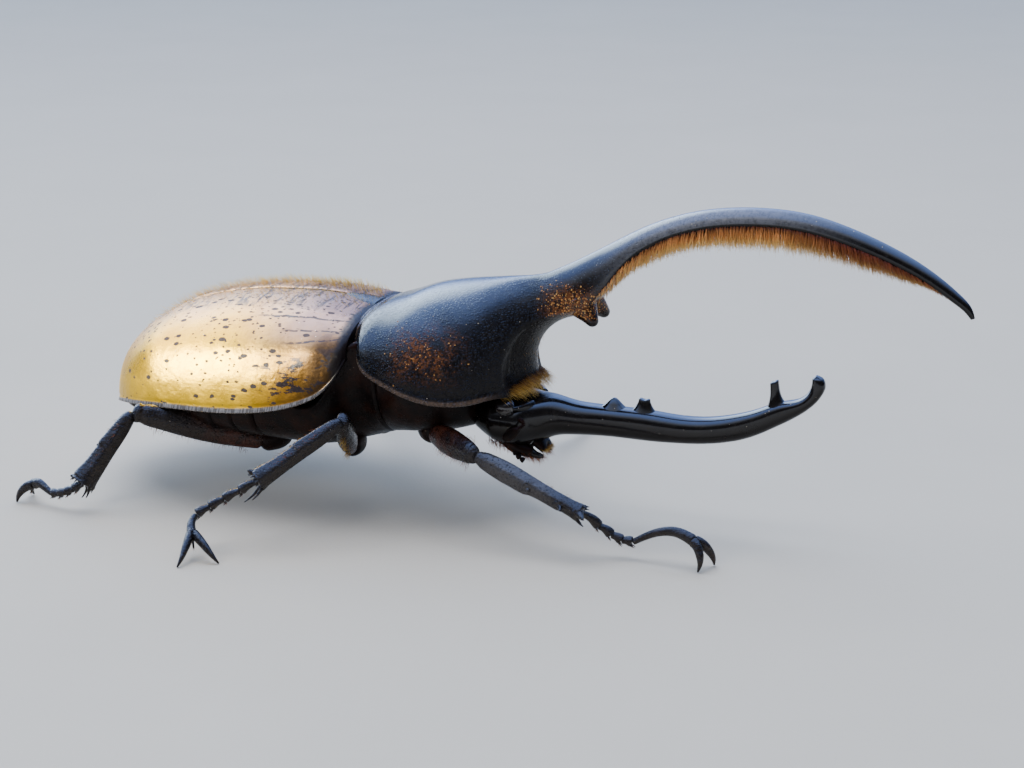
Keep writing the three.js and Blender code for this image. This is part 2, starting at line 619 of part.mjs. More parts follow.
// Head, its horn in two lengths, and what it bears.
const skull = headAndHorn();
const skullGrown = headAndHorn(GAP);
const [browCut, beakCut] = HEAD_CUTS;
const [lowTooth, bluntTooth, highTooth] = HEAD_TEETH.map(headTooth);
const beak = between(skull, browCut + half, beakCut - half).add(lowTooth).add(bluntTooth);
add('head', between(skull, -REACH, browCut - half).subtract(shieldGrown), BLACK_SHELL);
add('head_horn_base', beak, BLACK_SHELL);
add('head_horn_tip', between(skull, beakCut + half, REACH).add(highTooth), BLACK_SHELL);
add('clypeus', clypeus().subtract(skullGrown), BROWN_SHELL);
for (const [word, side] of SIDES) {
  const eye = ellipsoid(mirrored(side, EYE.at), EYE.radii, 9, 5);
  add(`eye_${word}`, eye.subtract(skullGrown).subtract(shieldGrown), EYE_SHELL);
  add(`antenna_${word}`, antenna(side).subtract(skullGrown), BROWN_SHELL);
  add(`mandible_${word}`, mouthpart(MANDIBLE, side, 3, 6).subtract(skullGrown), BLACK_SHELL);
  add(`palp_${word}`, mouthpart(PALP, side, 4, 5).subtract(skullGrown), BROWN_SHELL);
}

// Underside, hollowed for whatever lies against it.
const legs = Object.values(LEGS);
const hollows = [shieldGrown, skullGrown, elytron(1, GAP), elytron(-1, GAP),
  ...legs.map((leg) => thigh(leg, GAP)), ...legs.map((leg) => hipJoint(leg, GAP))];
const belly = hollows.reduce((left, hollow) => left.subtract(hollow), underside());
const [waist, loin, rear] = UNDERSIDE_CUTS;
add('prosternum', between(belly, waist + half, REACH), BROWN_SHELL);
add('metasternum', between(belly, loin + half, waist - half), BROWN_SHELL);
add('abdomen', between(belly, rear + half, loin - half), BROWN_SHELL);
add('pygidium', between(belly, -REACH, rear - half), BROWN_SHELL);

// Legs in four lengths, each cleared from the length before it.
for (const [name, leg] of Object.entries(LEGS)) {
  add(`coxa_${name}`, hipJoint(leg), BROWN_SHELL);
  add(`femur_${name}`, thigh(leg).subtract(hipJoint(leg, GAP)), LEG_SHELL);
  add(`tibia_${name}`, shin(leg).subtract(thigh(leg, GAP)), LEG_SHELL);
  add(`tarsus_${name}`, foot(leg).subtract(shin(leg, GAP)), LEG_SHELL);
}

// The origin is the middle of the footprint, on the floor.
const box = new THREE.Box3().setFromObject(beetle);
const centre = box.getCenter(vec(0, 0, 0));
beetle.position.set(-centre.x, -centre.y, -box.min.z);

export default beetle;
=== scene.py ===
# %% [markdown]
# # A male Hercules beetle, from shell plates to hairs
#
# This lesson dresses a plain solid beetle in its real surfaces. The solids give the size and the place of
# every part. Each part is built again here as a smooth shell with its own horny finish, and then the
# hairs are planted on it. Lengths are in millimetres in the beetle's own frame: x runs forward from the
# seam between its shield and its wing cases, y to its left, and z up from the floor.

import bpy
import numpy as np
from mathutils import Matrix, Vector


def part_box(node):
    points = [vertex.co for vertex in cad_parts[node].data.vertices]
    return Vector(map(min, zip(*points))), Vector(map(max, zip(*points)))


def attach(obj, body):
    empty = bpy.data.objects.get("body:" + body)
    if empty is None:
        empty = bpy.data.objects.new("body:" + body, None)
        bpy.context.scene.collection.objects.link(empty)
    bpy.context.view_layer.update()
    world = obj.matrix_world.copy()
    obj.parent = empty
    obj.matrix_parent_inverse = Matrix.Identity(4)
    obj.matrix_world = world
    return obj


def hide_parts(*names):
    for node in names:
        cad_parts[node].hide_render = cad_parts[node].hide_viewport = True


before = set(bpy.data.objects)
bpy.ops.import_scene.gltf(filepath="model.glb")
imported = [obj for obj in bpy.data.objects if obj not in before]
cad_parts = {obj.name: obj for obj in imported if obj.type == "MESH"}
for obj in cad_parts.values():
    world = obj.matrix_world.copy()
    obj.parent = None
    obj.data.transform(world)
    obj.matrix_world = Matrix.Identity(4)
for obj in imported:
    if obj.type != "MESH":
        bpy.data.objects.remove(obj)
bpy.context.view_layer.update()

# %% [markdown]
# ## Where the beetle's own frame lies
#
# The solids stand on an origin of their own. Two facts of theirs are enough to find the beetle's frame in
# it: the tail end of the wing cases and the middle between the two. Everything else is measured from
# there.

# %% Find the beetle's frame
MM = 0.001
TAIL = -50.7  # x of the tail end of the wing cases
SIDES = (("right", -1), ("left", 1))

right_low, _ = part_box("elytron_right")
_, left_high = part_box("elytron_left")
ORIGIN = np.array([right_low.x - TAIL * MM, (right_low.y + left_high.y) / 2, 0.0])


def in_frame(points):
    """Points of the beetle's own frame as metres in the frame of the solids."""
    return ORIGIN + np.asarray(points, float) * MM


print("the beetle's frame starts at", ORIGIN.round(4))

# %% [markdown]
# ## The camera
#
# A long lens from the beetle's right, a little above it and a little ahead, keeps the two horns apart and
# shows the wing case, the shield and three legs.

# %% Camera
EYE_POINT = [141.33, -323.51, 127.25]
AIM_POINT = [23.58, 0.0, 22.0]


def aim(thing, start, target):
    """Puts a camera or a lamp at one point and turns it to another."""
    here, there = in_frame([start, target])
    thing.location = here
    thing.rotation_euler = Vector(there - here).to_track_quat("-Z", "Y").to_euler()
    bpy.context.scene.collection.objects.link(thing)


camera = bpy.data.objects.new("camera", bpy.data.cameras.new("camera"))
camera.data.lens = 73.87
camera.data.sensor_width = 36
camera.data.clip_start = 0.01
camera.data.clip_end = 20
bpy.context.scene.camera = camera
aim(camera, EYE_POINT, AIM_POINT)
print("camera at", [round(c, 3) for c in camera.location])

# %% [markdown]
# ## Smooth curves from a few rows
#
# A shell plate could be sculpted by hand, or a rough cage could be smoothed by a subdivision modifier.
# Both lose the measured outline a little. Here each plate is a loft instead: a short table gives its
# section at a few stations, and a cubic spline whose curvature never jumps fills in the rest. That
# matters on a polished shell, because a jump in curvature shows as a kink in its reflections.

# %% Splines
def spline(rows, at, knots=None):
    """Values at the places `at` on a natural cubic spline through rows, whose knots run from 0 to 1."""
    rows = np.asarray(rows, float)
    count = len(rows)
    knots = np.linspace(0, 1, count) if knots is None else np.asarray(knots)
    gaps = np.diff(knots)
    slopes = np.diff(rows, axis=0) / gaps[:, None]
    system = np.eye(count)
    right = np.zeros_like(rows)
    for i in range(1, count - 1):
        system[i, i - 1:i + 2] = gaps[i - 1], 2 * (gaps[i - 1] + gaps[i]), gaps[i]
        right[i] = 6 * (slopes[i] - slopes[i - 1])
    bend = np.linalg.solve(system, right)
    at = np.clip(at, 0, 1)
    cell = np.clip(np.searchsorted(knots, at, side="right") - 1, 0, count - 2)
    gap = gaps[cell][:, None]
    ahead = (at - knots[cell])[:, None]
    behind = gap - ahead
    return (bend[cell] * behind ** 3 + bend[cell + 1] * ahead ** 3) / (6 * gap) \
        + (rows[cell] / gap - bend[cell] * gap / 6) * behind \
        + (rows[cell + 1] / gap - bend[cell + 1] * gap / 6) * ahead


def by_distance(rows, columns=3):
    """Knots from 0 to 1 that follow the distance between rows whose first columns are places."""
    steps = np.linalg.norm(np.diff(np.asarray(rows, float)[:, :columns], axis=0), axis=1)
    return np.concatenate([[0], np.cumsum(steps)]) / steps.sum()


def through(points, share):
    """Points at some shares of the way along a path through points."""
    points = np.asarray(points, float)
    if len(points) == 2:
        return points[0] + share[:, None] * (points[1] - points[0])
    return spline(points, share, by_distance(points))


def unit(vectors):
    """Vectors scaled to length 1."""
    vectors = np.asarray(vectors, float)
    return vectors / (np.linalg.norm(vectors, axis=-1, keepdims=True) + 1e-12)


def circle(count):
    """Angles of evenly spaced points round a section."""
    return np.linspace(0, 2 * np.pi, count, endpoint=False)


def mirrored(points, side):
    """Points of the left side, or their mirror images where side is -1."""
    return np.asarray(points, float) * [1, side, 1]


def bump_at(value, middle, width):
    """A smooth hump of height 1 at middle."""
    return np.exp(-((value - middle) / width) ** 2)


def ramp(value, low, high):
    """Rises smoothly from 0 at low to 1 at high, or falls where high is below low."""
    share = np.clip((value - low) / (high - low), 0, 1)
    return share * share * (3 - 2 * share)


print("middle of a test curve:", spline([[0, 0], [1, 2], [2, 0]], np.array([0.5])).round(3))

# %% [markdown]
# ## From rings to a mesh
#
# Every part below ends as a stack of rings with the same number of points. One helper skins the rings
# into a closed surface, and another joins such surfaces into one named piece, hangs it on the frame and
# hides the solids that it stands for. Numbers that the finish needs later, such as how far down a wing
# case a point lies, are stored on the points as attributes.


def skin(rings, marks=None):
    """A closed surface over rings of shape (rings, points, 3), each end shut by a fan."""
    rings = np.asarray(rings, float)
    count, sides = rings.shape[:2]
    ring = np.arange(sides)
    after = (ring + 1) % sides
    starts = np.arange(count - 1)[:, None] * sides
    strips = [starts + ring, starts + after, starts + sides + after, starts + sides + ring]
    quads = np.stack(strips, axis=-1).reshape(-1, 4)
    first, last = count * sides, count * sides + 1
    top = (count - 1) * sides
    start_fan = np.stack([np.full(sides, first), after, ring], axis=1)
    end_fan = np.stack([np.full(sides, last), top + ring, top + after], axis=1)
    points = np.concatenate([rings.reshape(-1, 3), rings[0].mean(0)[None], rings[-1].mean(0)[None]])
    corners = points[quads]
    turned = np.einsum("ij,ij->i", corners[:, 0], np.cross(corners[:, 1], corners[:, 2])).sum()
    faces = [quads, start_fan, end_fan]
    if turned < 0:
        faces = [f[:, ::-1] for f in faces]
    values = {}
    for name, value in (marks or {}).items():
        value = np.broadcast_to(value, (count, sides))
        values[name] = np.concatenate([value.ravel(), [value[0].mean(), value[-1].mean()]])
    return {"points": points, "faces": [f for group in faces for f in group.tolist()], "marks": values}


def joined(patches):
    """Several surfaces as one."""
    points, faces, start = [], [], 0
    names = sorted({name for patch in patches for name in patch["marks"]})
    marks = {name: [] for name in names}
    for patch in patches:
        points.append(patch["points"])
        faces += [[start + i for i in face] for face in patch["faces"]]
        start += len(patch["points"])
        for name in names:
            marks[name].append(patch["marks"].get(name, np.zeros(len(patch["points"]))))
    marks = {name: np.concatenate(values) for name, values in marks.items()}
    return {"points": np.concatenate(points), "faces": faces, "marks": marks}


def smooth_mesh(name, points, faces, marks, finishes):
    """A smooth mesh with numbers stored on its points. The finishes are made here and filled in later."""
    mesh = bpy.data.meshes.new(name)
    mesh.from_pydata(in_frame(points).tolist(), [], faces)
    for mark, values in marks.items():
        mesh.attributes.new(mark, "FLOAT", "POINT").data.foreach_set("value", values.astype(np.float32))
    mesh.shade_smooth()
    for finish_name in finishes:
        mesh.materials.append(bpy.data.materials.get(finish_name) or bpy.data.materials.new(finish_name))
    return mesh


def hang(name, mesh):
    """An object of the mesh, fixed to the root of the frame."""
    thing = bpy.data.objects.new(name, mesh)
    bpy.context.scene.collection.objects.link(thing)
    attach(thing, "root")
    return thing


def piece(name, patches, finish_name, *nodes):
    """One smooth object that stands for some of the solids."""
    whole = joined(patches)
    mesh = smooth_mesh(name, whole["points"], whole["faces"], whole["marks"], [finish_name])
    thing = hang(name, mesh)
    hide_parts(*nodes)
    print(name, len(mesh.polygons), "faces")


# %% [markdown]
# ## Tubes and thorns
#
# Legs, feelers and claws are tubes with an oval section that changes on the way. Each section needs to
# know which way is up. Turning one fixed direction along the path can flip the section where the path is
# steep, so each ring carries the direction of the ring before it. Thorns are short tubes whose foot
# flares into the surface, as a real one grows out of the shell.

# %% Tubes
def directions(path, upward):
    """Unit vectors ahead, across and up at each point of a path."""
    ahead = unit(np.gradient(path, axis=0))
    across = np.empty_like(ahead)
    side = np.cross(ahead[0], upward)
    for i, way in enumerate(ahead):
        side = unit(side - way * (side @ way))
        across[i] = side
    return ahead, across, np.cross(across, ahead)


def ovals(path, across, up, wide, tall):
    """Rings round a path from their widths and heights by ring and point."""
    return path[:, None] + across[:, None] * wide[..., None] + up[:, None] * tall[..., None]


def tube(points, halves, sides=20, steps=24, ends=(0.5, 0.5), shape=None):
    """A tube through points. halves are its half widths and half heights at even steps along it, ends the
    millimetres over which each end is rounded, and shape a factor on the section by place and angle."""
    even = np.linspace(0, 1, steps)
    share = even - 0.13 * np.sin(2 * np.pi * even)
    path = through(points, share)
    length = np.linalg.norm(np.diff(path, axis=0), axis=1).sum()
    _, across, up = directions(path, (0, 0, 1))
    if len(halves) == 2:
        halves = [halves[0], np.mean(halves, 0), halves[1]]
    radii = spline(halves, share)
    closing = np.ones(steps)
    for end, distance in zip(ends, (share * length, (1 - share) * length)):
        closing *= np.sqrt(np.clip(1 - (1 - np.clip(distance / end, 0.004, 1)) ** 2, 0, 1))
    angle = circle(sides)
    factor = closing[:, None] * (1 if shape is None else shape(share[:, None], angle[None]))
    return skin(ovals(
        path, across, up, radii[:, :1] * factor * np.sin(angle), radii[:, 1:2] * factor * np.cos(angle)))


SLANTED = (0.31, 0.53, 0.79)  # a direction that no thorn points in


def thorn(root, tip, radius, flare=0.5, blunt=0.22, sides=18, steps=16, lean=(0, 0, 0), sunk=0.0):
    """A thorn from root to tip, with a flaring foot. lean bows it sideways at half its height, and sunk
    narrows the buried end so that it stays inside."""
    root, tip = np.asarray(root, float), np.asarray(tip, float)
    share = np.linspace(0, 1, steps) ** 0.8
    height = np.linalg.norm(tip - root)
    bow = (4 * share * (1 - share))[:, None] * np.asarray(lean, float)
    path = root + share[:, None] * (tip - root) + bow
    body = radius * (blunt + (1 - blunt) * (1 - share) ** 1.15)
    body = body * (1 - sunk * ramp(share, 0.35, 0.0))
    foot = radius * flare * np.exp(-share * height / (0.35 * radius))
    near_tip = np.clip((share - 1) * height / (blunt * radius) + 1, 0, 0.999)
    width = ((body + foot) * np.sqrt(1 - near_tip ** 2))[:, None]
    _, across, up = directions(path, SLANTED)
    angle = circle(sides)
    return skin(ovals(path, across, up, width * np.sin(angle), width * np.cos(angle)))


# %% [markdown]
# ## The shield and its horn
#
# The pronotum is one rigid shield that runs out into the long horn. A row of the table gives one section:
# a point on its back, a point at its rim, the half width, the depth below the rim and how square the
# section is. The horn goes on with the same kind of row, worked out square to its back. All along the rim
# runs a raised bead with a groove above it. The hollow of the throat is pressed in last, by moving every
# point that lies inside an oval cylinder out to its wall.

# %% Sections of the shield
SHIELD = [
    [-0.2, 34.5, 0.0, 30.6, 12.0, 0.8, 2.3],
    [1.2, 35.2, 1.7, 28.4, 15.6, 1.0, 2.3],
    [4.2, 36.3, 4.8, 25.9, 17.2, 1.2, 2.3],
    [9.0, 38.2, 9.6, 23.9, 17.6, 1.2, 2.2],
    [13.2, 39.3, 13.8, 22.6, 17.1, 1.2, 2.1],
    [17.3, 40.0, 18.0, 22.1, 15.7, 1.2, 2.1],
    [21.2, 40.6, 21.7, 22.3, 13.2, 1.2, 2.1],
    [24.2, 41.1, 24.8, 22.7, 10.3, 1.0, 2.0],
    [26.4, 41.4, 27.1, 22.9, 8.2, 0.9, 1.95],
    [28.0, 41.7, 28.8, 24.3, 6.8, 0.8, 1.95],
    [29.6, 42.1, 29.4, 27.2, 5.8, 0.8, 2.0],
    [31.0, 42.7, 30.1, 29.8, 5.2, 0.9, 2.0],
    [32.6, 43.5, 31.3, 31.9, 4.8, 1.0, 2.0],
    [34.4, 44.4, 33.2, 33.9, 4.55, 1.0, 2.0],
    [36.4, 45.5, 35.4, 35.9, 4.35, 1.0, 2.0],
    [39.4, 47.2, 38.9, 38.9, 4.1, 1.0, 2.0],
    [42.8, 49.2, 43.4, 44.9, 3.6, 1.2, 2.0],
]
# Horn along the midline of its back: x, z, thickness, half width.
HORN = [
    [46.6, 51.3, 4.3, 3.2], [51.0, 53.2, 3.8, 2.85], [56.0, 54.7, 3.6, 2.6], [61.5, 55.6, 3.5, 2.4],
    [67.5, 55.9, 3.4, 2.25], [74.0, 55.4, 3.3, 2.1], [80.0, 53.9, 3.1, 1.9], [85.5, 51.9, 2.85, 1.7],
    [90.5, 49.6, 2.5, 1.5], [95.0, 46.9, 2.1, 1.2], [98.4, 44.3, 1.7, 0.9], [100.3, 42.2, 1.2, 0.6],
    [100.8, 40.8, 0.7, 0.35],
]
HORN_RISE = 0.62  # share of the horn's thickness above its widest line
THROAT = {"x": 37.3, "z": 26.9, "across": 9.4, "up": 8.6}


def horn_sections():
    """The horn's rows as rows like those of the shield."""
    back = np.array([row[:2] for row in HORN])
    made = []
    for (x, z, thick, half), (ahead, up) in zip(HORN, unit(np.gradient(back, axis=0))):
        drop = thick * HORN_RISE
        made.append([x, z, x + up * drop, z - ahead * drop, half, thick - drop, 2.0])
    return made


def crowded(count, places, strength=5.0, width=0.12):
    """Angles round a section, closer together near some places."""
    fine = np.linspace(0, 2 * np.pi, 2000)
    weight = 1 + sum(strength * bump_at(fine, place, width) for place in places)
    total = np.concatenate([[0], np.cumsum(weight[:-1])])
    return np.interp(np.arange(count) / count * total[-1], total, fine)


def rounded(angle, square):
    """Across and up on a rounded square, by angle from the top; a square of 2 is an ellipse."""
    wide, tall = np.sin(angle), np.cos(angle)
    return np.sign(wide) * np.abs(wide) ** (2 / square), np.sign(tall) * np.abs(tall) ** (2 / square)


print("horn sections:", len(horn_sections()))

# %% Shape the shield
def shield_rings(count=430, sides=132):
    """Rings of the shield and horn from hind edge to tip, and the height of each point above the rim."""
    table = SHIELD + horn_sections()
    rows = spline(table, np.linspace(0, 1, count), by_distance(table, 2))
    angle = crowded(sides, [np.pi / 2, 3 * np.pi / 2])
    across, rise = rounded(angle[None], rows[:, 6:7])
    back, rim = rows[:, [0, 1]], rows[:, [2, 3]]
    height = np.linalg.norm(back - rim, axis=1)
    up = (back - rim) / height[:, None]
    above = np.where(rise > 0, height[:, None] * rise, rows[:, 5:6] * rise)
    half = rows[:, 4:5]
    bead = 0.3 * bump_at(above, 0.0, 0.55) - 0.14 * bump_at(above, 1.35, 0.45)
    bead *= ramp(rows[:, 0:1], 27, 23)
    wide = (half + bead) * across
    place = rim[:, None] + up[:, None] * above[..., None]
    return np.stack([place[..., 0], wide, place[..., 1]], axis=-1), above


def press_throat(rings):
    """Moves the points inside the throat's oval hollow out to its wall and eases the edge. The hollow is
    wider off the midline."""
    middle = np.array([THROAT["x"], THROAT["z"]])
    aside = np.minimum(np.abs(rings[..., 1:2]), 5.5)
    size = np.array([THROAT["across"], THROAT["up"]]) * (1 + 0.3 * (aside / 5.5) ** 2)
    away = (rings[..., [0, 2]] - middle) / size
    far = np.linalg.norm(away, axis=-1)
    inside = far < 1
    moved = rings.copy()
    wall = middle + away / far[..., None] * size
    moved[..., [0, 2]] = np.where(inside[..., None], wall, rings[..., [0, 2]])
    near = ramp(far, 1.12, 1.0)[..., None] * ramp(rings[..., 0], 52, 46)[..., None]
    for _ in range(10):
        around = (np.roll(moved, 1, 1) + np.roll(moved, -1, 1)) / 2
        along = moved.copy()
        along[1:-1] = (moved[2:] + moved[:-2]) / 2
        moved += 0.5 * near * ((around + along) / 2 - moved)
    return moved


LIP_STEPS = 5


def lipped(rings, size):
    """The rings with a rounded lip turned in at the first one."""
    inward = unit(rings[0].mean(0) - rings[0])
    out = unit((rings[0] - rings[1]).mean(0))
    turn = np.linspace(0, np.pi * 0.75, LIP_STEPS + 1)[:0:-1]
    lip = [rings[0] + size * ((1 - np.cos(t)) * inward + np.sin(t) * out) for t in turn]
    return np.concatenate([lip, rings])


shield, above_rim = shield_rings()
shield = press_throat(shield)
print("shield spans", shield.reshape(-1, 3).min(0).round(1), shield.reshape(-1, 3).max(0).round(1))

# %% [markdown]
# ### Teeth of the horn
#
# Two blunt teeth hang from the root of the horn, one at each side. They are thorns with a wide foot, and
# so is a small wart on the horn's back. The worn rim is stored as a mark for the finish: a band along the
# hind edge and one along the low bead.

# %% Shield piece
TOOTH = {"root": [34.7, 0.9, 39.4], "tip": [39.5, 3.6, 34.7], "radius": 3.9}
WART = {"root": [53.7, -0.9, 52.6], "tip": [53.6, -1.2, 53.65], "radius": 0.75}


def horn_teeth():
    """The two teeth and the wart."""
    made = [
        thorn(mirrored(TOOTH["root"], side), mirrored(TOOTH["tip"], side), TOOTH["radius"],
              flare=0.0, blunt=0.19, sides=36, steps=36, lean=(0.3, 0, 0), sunk=0.75)
        for side in (-1, 1)
    ]
    return made + [thorn(WART["root"], WART["tip"], WART["radius"], flare=0.0, blunt=0.6)]


def worn_rim(rings):
    """1 along the hind edge and the low bead of the lipped shield, 0 elsewhere."""
    hind = ramp(np.linalg.norm(rings - shield[0], axis=-1), 0.9, 0.5)
    low = ramp(np.abs(above_rim - 0.15), 0.6, 0.3)
    low = np.concatenate([np.zeros((LIP_STEPS, rings.shape[1])), low])
    return np.maximum(hind, low * ramp(rings[..., 0], 26, 22))


lipped_shield = lipped(shield, 0.5)
shield_skin = skin(lipped_shield, {"rim": worn_rim(lipped_shield)})
piece(
    "shield_and_horn", [shield_skin] + horn_teeth(), "black shell",
    "pronotum", "thorax_horn_base", "thorax_horn_middle", "thorax_horn_tip",
)

# %% [markdown]
# ## The wing cases
#
# Each elytron is half of a dome. Its section is a quarter of a rounded square from the seam on the back
# down to the rim, and the rim rolls under like a gutter. Two faint knobs, one at the shoulder and one
# near the tail, catch the light on a real beetle. The seam is a fine groove, and a thin bead runs along
# the rim.

# %% Shape a wing case
# Sections of a wing case: x, half width, height of the rim, height of the seam.
ELYTRA = [
    [-0.45, 16.2, 27.9, 34.25], [-1.1, 17.6, 26.2, 34.5], [-3.2, 18.9, 23.4, 34.9],
    [-6.4, 19.6, 21.3, 35.4], [-11.0, 20.2, 19.7, 35.7], [-17.0, 20.5, 18.6, 35.5],
    [-23.5, 20.4, 18.0, 35.0], [-30.0, 19.8, 17.7, 33.8], [-36.0, 18.4, 17.2, 32.1],
    [-41.5, 15.9, 16.4, 29.3], [-45.8, 12.4, 15.4, 25.8], [-48.6, 8.2, 14.3, 21.4],
    [-49.9, 4.6, 13.5, 17.6], [-50.3, 2.0, 13.0, 14.8],
]
ELYTRA_SQUARE = 2.45
SEAM = 0.12  # half width of the seam between the wing cases


def elytron_surface(share, angle):
    """Points of the right wing case's outer face, by share from base to tip and angle from seam to rim."""
    rows = spline(ELYTRA, share, by_distance(ELYTRA, 2))
    x, half, rim, top = (rows[:, i:i + 1] for i in range(4))
    across, rise = rounded(angle[None], ELYTRA_SQUARE)
    tall = (top - rim) * rise
    shoulder = 0.55 * bump_at(x, -5.5, 3.2) * bump_at(angle, 1.02, 0.22)
    knob = 0.5 * bump_at(x, -38.5, 4.5) * bump_at(angle, 0.85, 0.3)
    bead = 0.2 * bump_at(tall, 0.1, 0.3) - 0.16 * bump_at(tall, 0.72, 0.26)
    swell = shoulder + knob + bead * ramp(share[:, None], 1.0, 0.97)
    y = SEAM + (half - SEAM) * across + swell * across
    z = rim + tall + swell * rise - 0.22 * bump_at(y, SEAM, 0.35)
    return np.stack([np.broadcast_to(x, y.shape), -y, z], axis=-1), rows


def elytron(side):
    """One closed wing case: outer face, gutter below the rim and flat inner face."""
    share = np.linspace(0, 1, 240)
    angle = crowded(88, [np.pi / 2], strength=4.0, width=0.1) / 4
    angle = angle / angle[-1] * np.pi / 2
    outer, rows = elytron_surface(share, angle)
    rim = outer[:, -1]
    inward = np.array([[0.18, -0.2], [0.55, -0.28], [1.2, 0.05], [2.2, 0.5]])
    reach = np.minimum(1, -rim[:, 1] / 4)[:, None]
    under = np.stack([
        np.broadcast_to(rim[:, None, 0], (len(share), 4)),
        rim[:, None, 1] + inward[:, 0] * reach,
        rim[:, None, 2] + inward[:, 1] * reach,
    ], axis=-1)
    inner = np.stack([outer[:, 0, 0], outer[:, 0, 1], rows[:, 2] + 0.4], axis=-1)[:, None]
    rings = mirrored(np.concatenate([outer, under, inner], axis=1), -side)
    beyond_rim = np.full(rings.shape[1] - len(angle), 1.05)
    down = np.concatenate([angle / (np.pi / 2), beyond_rim])
    return skin(lipped(rings, 0.3), {"down": down[None]})


for word, side in SIDES:
    piece(f"wing_case_{word}", [elytron(side)], "wing case", f"elytron_{word}")

# %% [markdown]
# ### Scutellum
#
# The small plate between the bases of the wing cases is a shallow heart-shaped cushion.

# %% Scutellum
SCUTELLUM = {"front": -0.75, "back": -7.0, "half": 2.7, "rise": 0.55, "deep": 1.4}


def scutellum():
    """A low cushion, widest in front, with a blunt point behind."""
    share = np.linspace(0, 1, 40)
    x = SCUTELLUM["front"] + share * (SCUTELLUM["back"] - SCUTELLUM["front"])
    half = SCUTELLUM["half"] * np.sqrt(np.clip(1 - share ** 2.2, 0.002, 1))
    base = spline(ELYTRA, np.clip(x / TAIL, 0, 1) * 0.8, by_distance(ELYTRA, 2))[:, 3]
    across, rise = rounded(circle(40)[None], 2.4)
    y = half[:, None] * across
    lift = np.where(rise > 0, SCUTELLUM["rise"], SCUTELLUM["deep"])
    z = base[:, None] - 0.15 + rise * lift * np.sqrt(half / half[0])[:, None]
    return skin(np.stack([np.broadcast_to(x[:, None], y.shape), y, z], axis=-1))


piece("scutellum_plate", [scutellum()], "black shell", "scutellum")

# %% [markdown]
# ## The head and its horn
#
# The head is a low box that narrows into the second horn. Rows of the table give the back and the
# underside of each section and its half width. Three teeth stand on the horn: a low knob, a broad one
# with two points, and a slender one near the upturned tip. Each is a stack of rounded rings whose foot
# sweeps out into the horn.

# %% Head and horn
# Sections of the head and its horn: x and z of the back, x and z of the underside, half width.
HEAD = [
    [18.0, 20.6, 18.0, 14.4, 4.8], [20.5, 21.6, 20.5, 12.9, 6.4], [23.5, 22.0, 23.5, 11.9, 7.2],
    [26.5, 21.9, 26.8, 11.8, 6.6], [29.0, 21.6, 29.2, 12.6, 4.8], [31.5, 21.1, 31.6, 13.7, 3.3],
    [35.0, 20.3, 34.8, 14.3, 2.65], [38.5, 20.05, 38.3, 14.6, 2.45], [43.5, 20.0, 43.2, 14.75, 2.35],
    [48.5, 19.9, 48.6, 14.7, 2.3], [53.5, 19.6, 53.8, 14.9, 2.2], [58.5, 19.9, 59.4, 15.5, 2.1],
    [62.6, 20.8, 65.0, 17.0, 2.0], [66.6, 22.2, 69.8, 19.5, 1.85], [70.6, 23.9, 73.6, 21.9, 1.65],
    [73.6, 24.8, 76.2, 24.2, 1.4], [75.2, 26.5, 77.5, 26.3, 1.2], [75.5, 28.0, 77.6, 27.9, 1.05],
    [75.45, 28.9, 76.95, 29.1, 0.85],
]
# Teeth of the head's horn: place, height, half length and half width at the top and at the foot, lean,
# depth of the notch, height of the rounding at the top, and how soon the foot narrows.
HEAD_TEETH = [
    {"x": 41.9, "height": 1.9, "top": [0.8, 0.7], "foot": [2.5, 1.8], "lean": 0.0, "notch": 0.0,
     "round": 0.9, "narrow": 1.8},
    {"x": 47.2, "height": 2.6, "top": [0.95, 0.62], "foot": [2.1, 1.5], "lean": 0.0, "notch": 0.42,
     "round": 0.45, "narrow": 2.2},
    {"x": 69.5, "height": 4.2, "top": [0.74, 0.68], "foot": [1.55, 1.4], "lean": 1.2, "notch": 0.2,
     "round": 0.5, "narrow": 3.4},
]


def head_rings(count=330, sides=72):
    """Rings of the head and its horn from neck to tip."""
    rows = spline(HEAD, np.linspace(0, 1, count), by_distance(HEAD, 2))
    back, low = rows[:, [0, 1]], rows[:, [2, 3]]
    middle = (back + low) / 2
    tall = back - middle
    angle = circle(sides)[None]
    closing = np.sqrt(np.clip(1 - ramp(np.linspace(0, 1, count), 0.988, 1.0) ** 2, 0.02, 1))[:, None]
    across, rise = rounded(angle, 2.15 + 0.3 * ramp(rows[:, 0:1], 33, 42))
    x = rows[:, 0:1]
    cheek = 0.5 * bump_at(x, 26.8, 1.3) * bump_at(np.abs(np.sin(angle)), 1, 0.35)
    brow = 0.35 * bump_at(x, 22.2, 1.2) * bump_at(angle % (2 * np.pi) - np.pi, 0, 9)
    dent = 0.7 * bump_at(x, 27.5, 3.0) * bump_at(np.cos(angle), 1, 0.35)
    half = (rows[:, 4:5] + cheek + brow) * closing
    place = middle[:, None] + tall[:, None] * (rise * closing)[..., None]
    return np.stack([place[..., 0], half * across, place[..., 1] - dent], axis=-1)


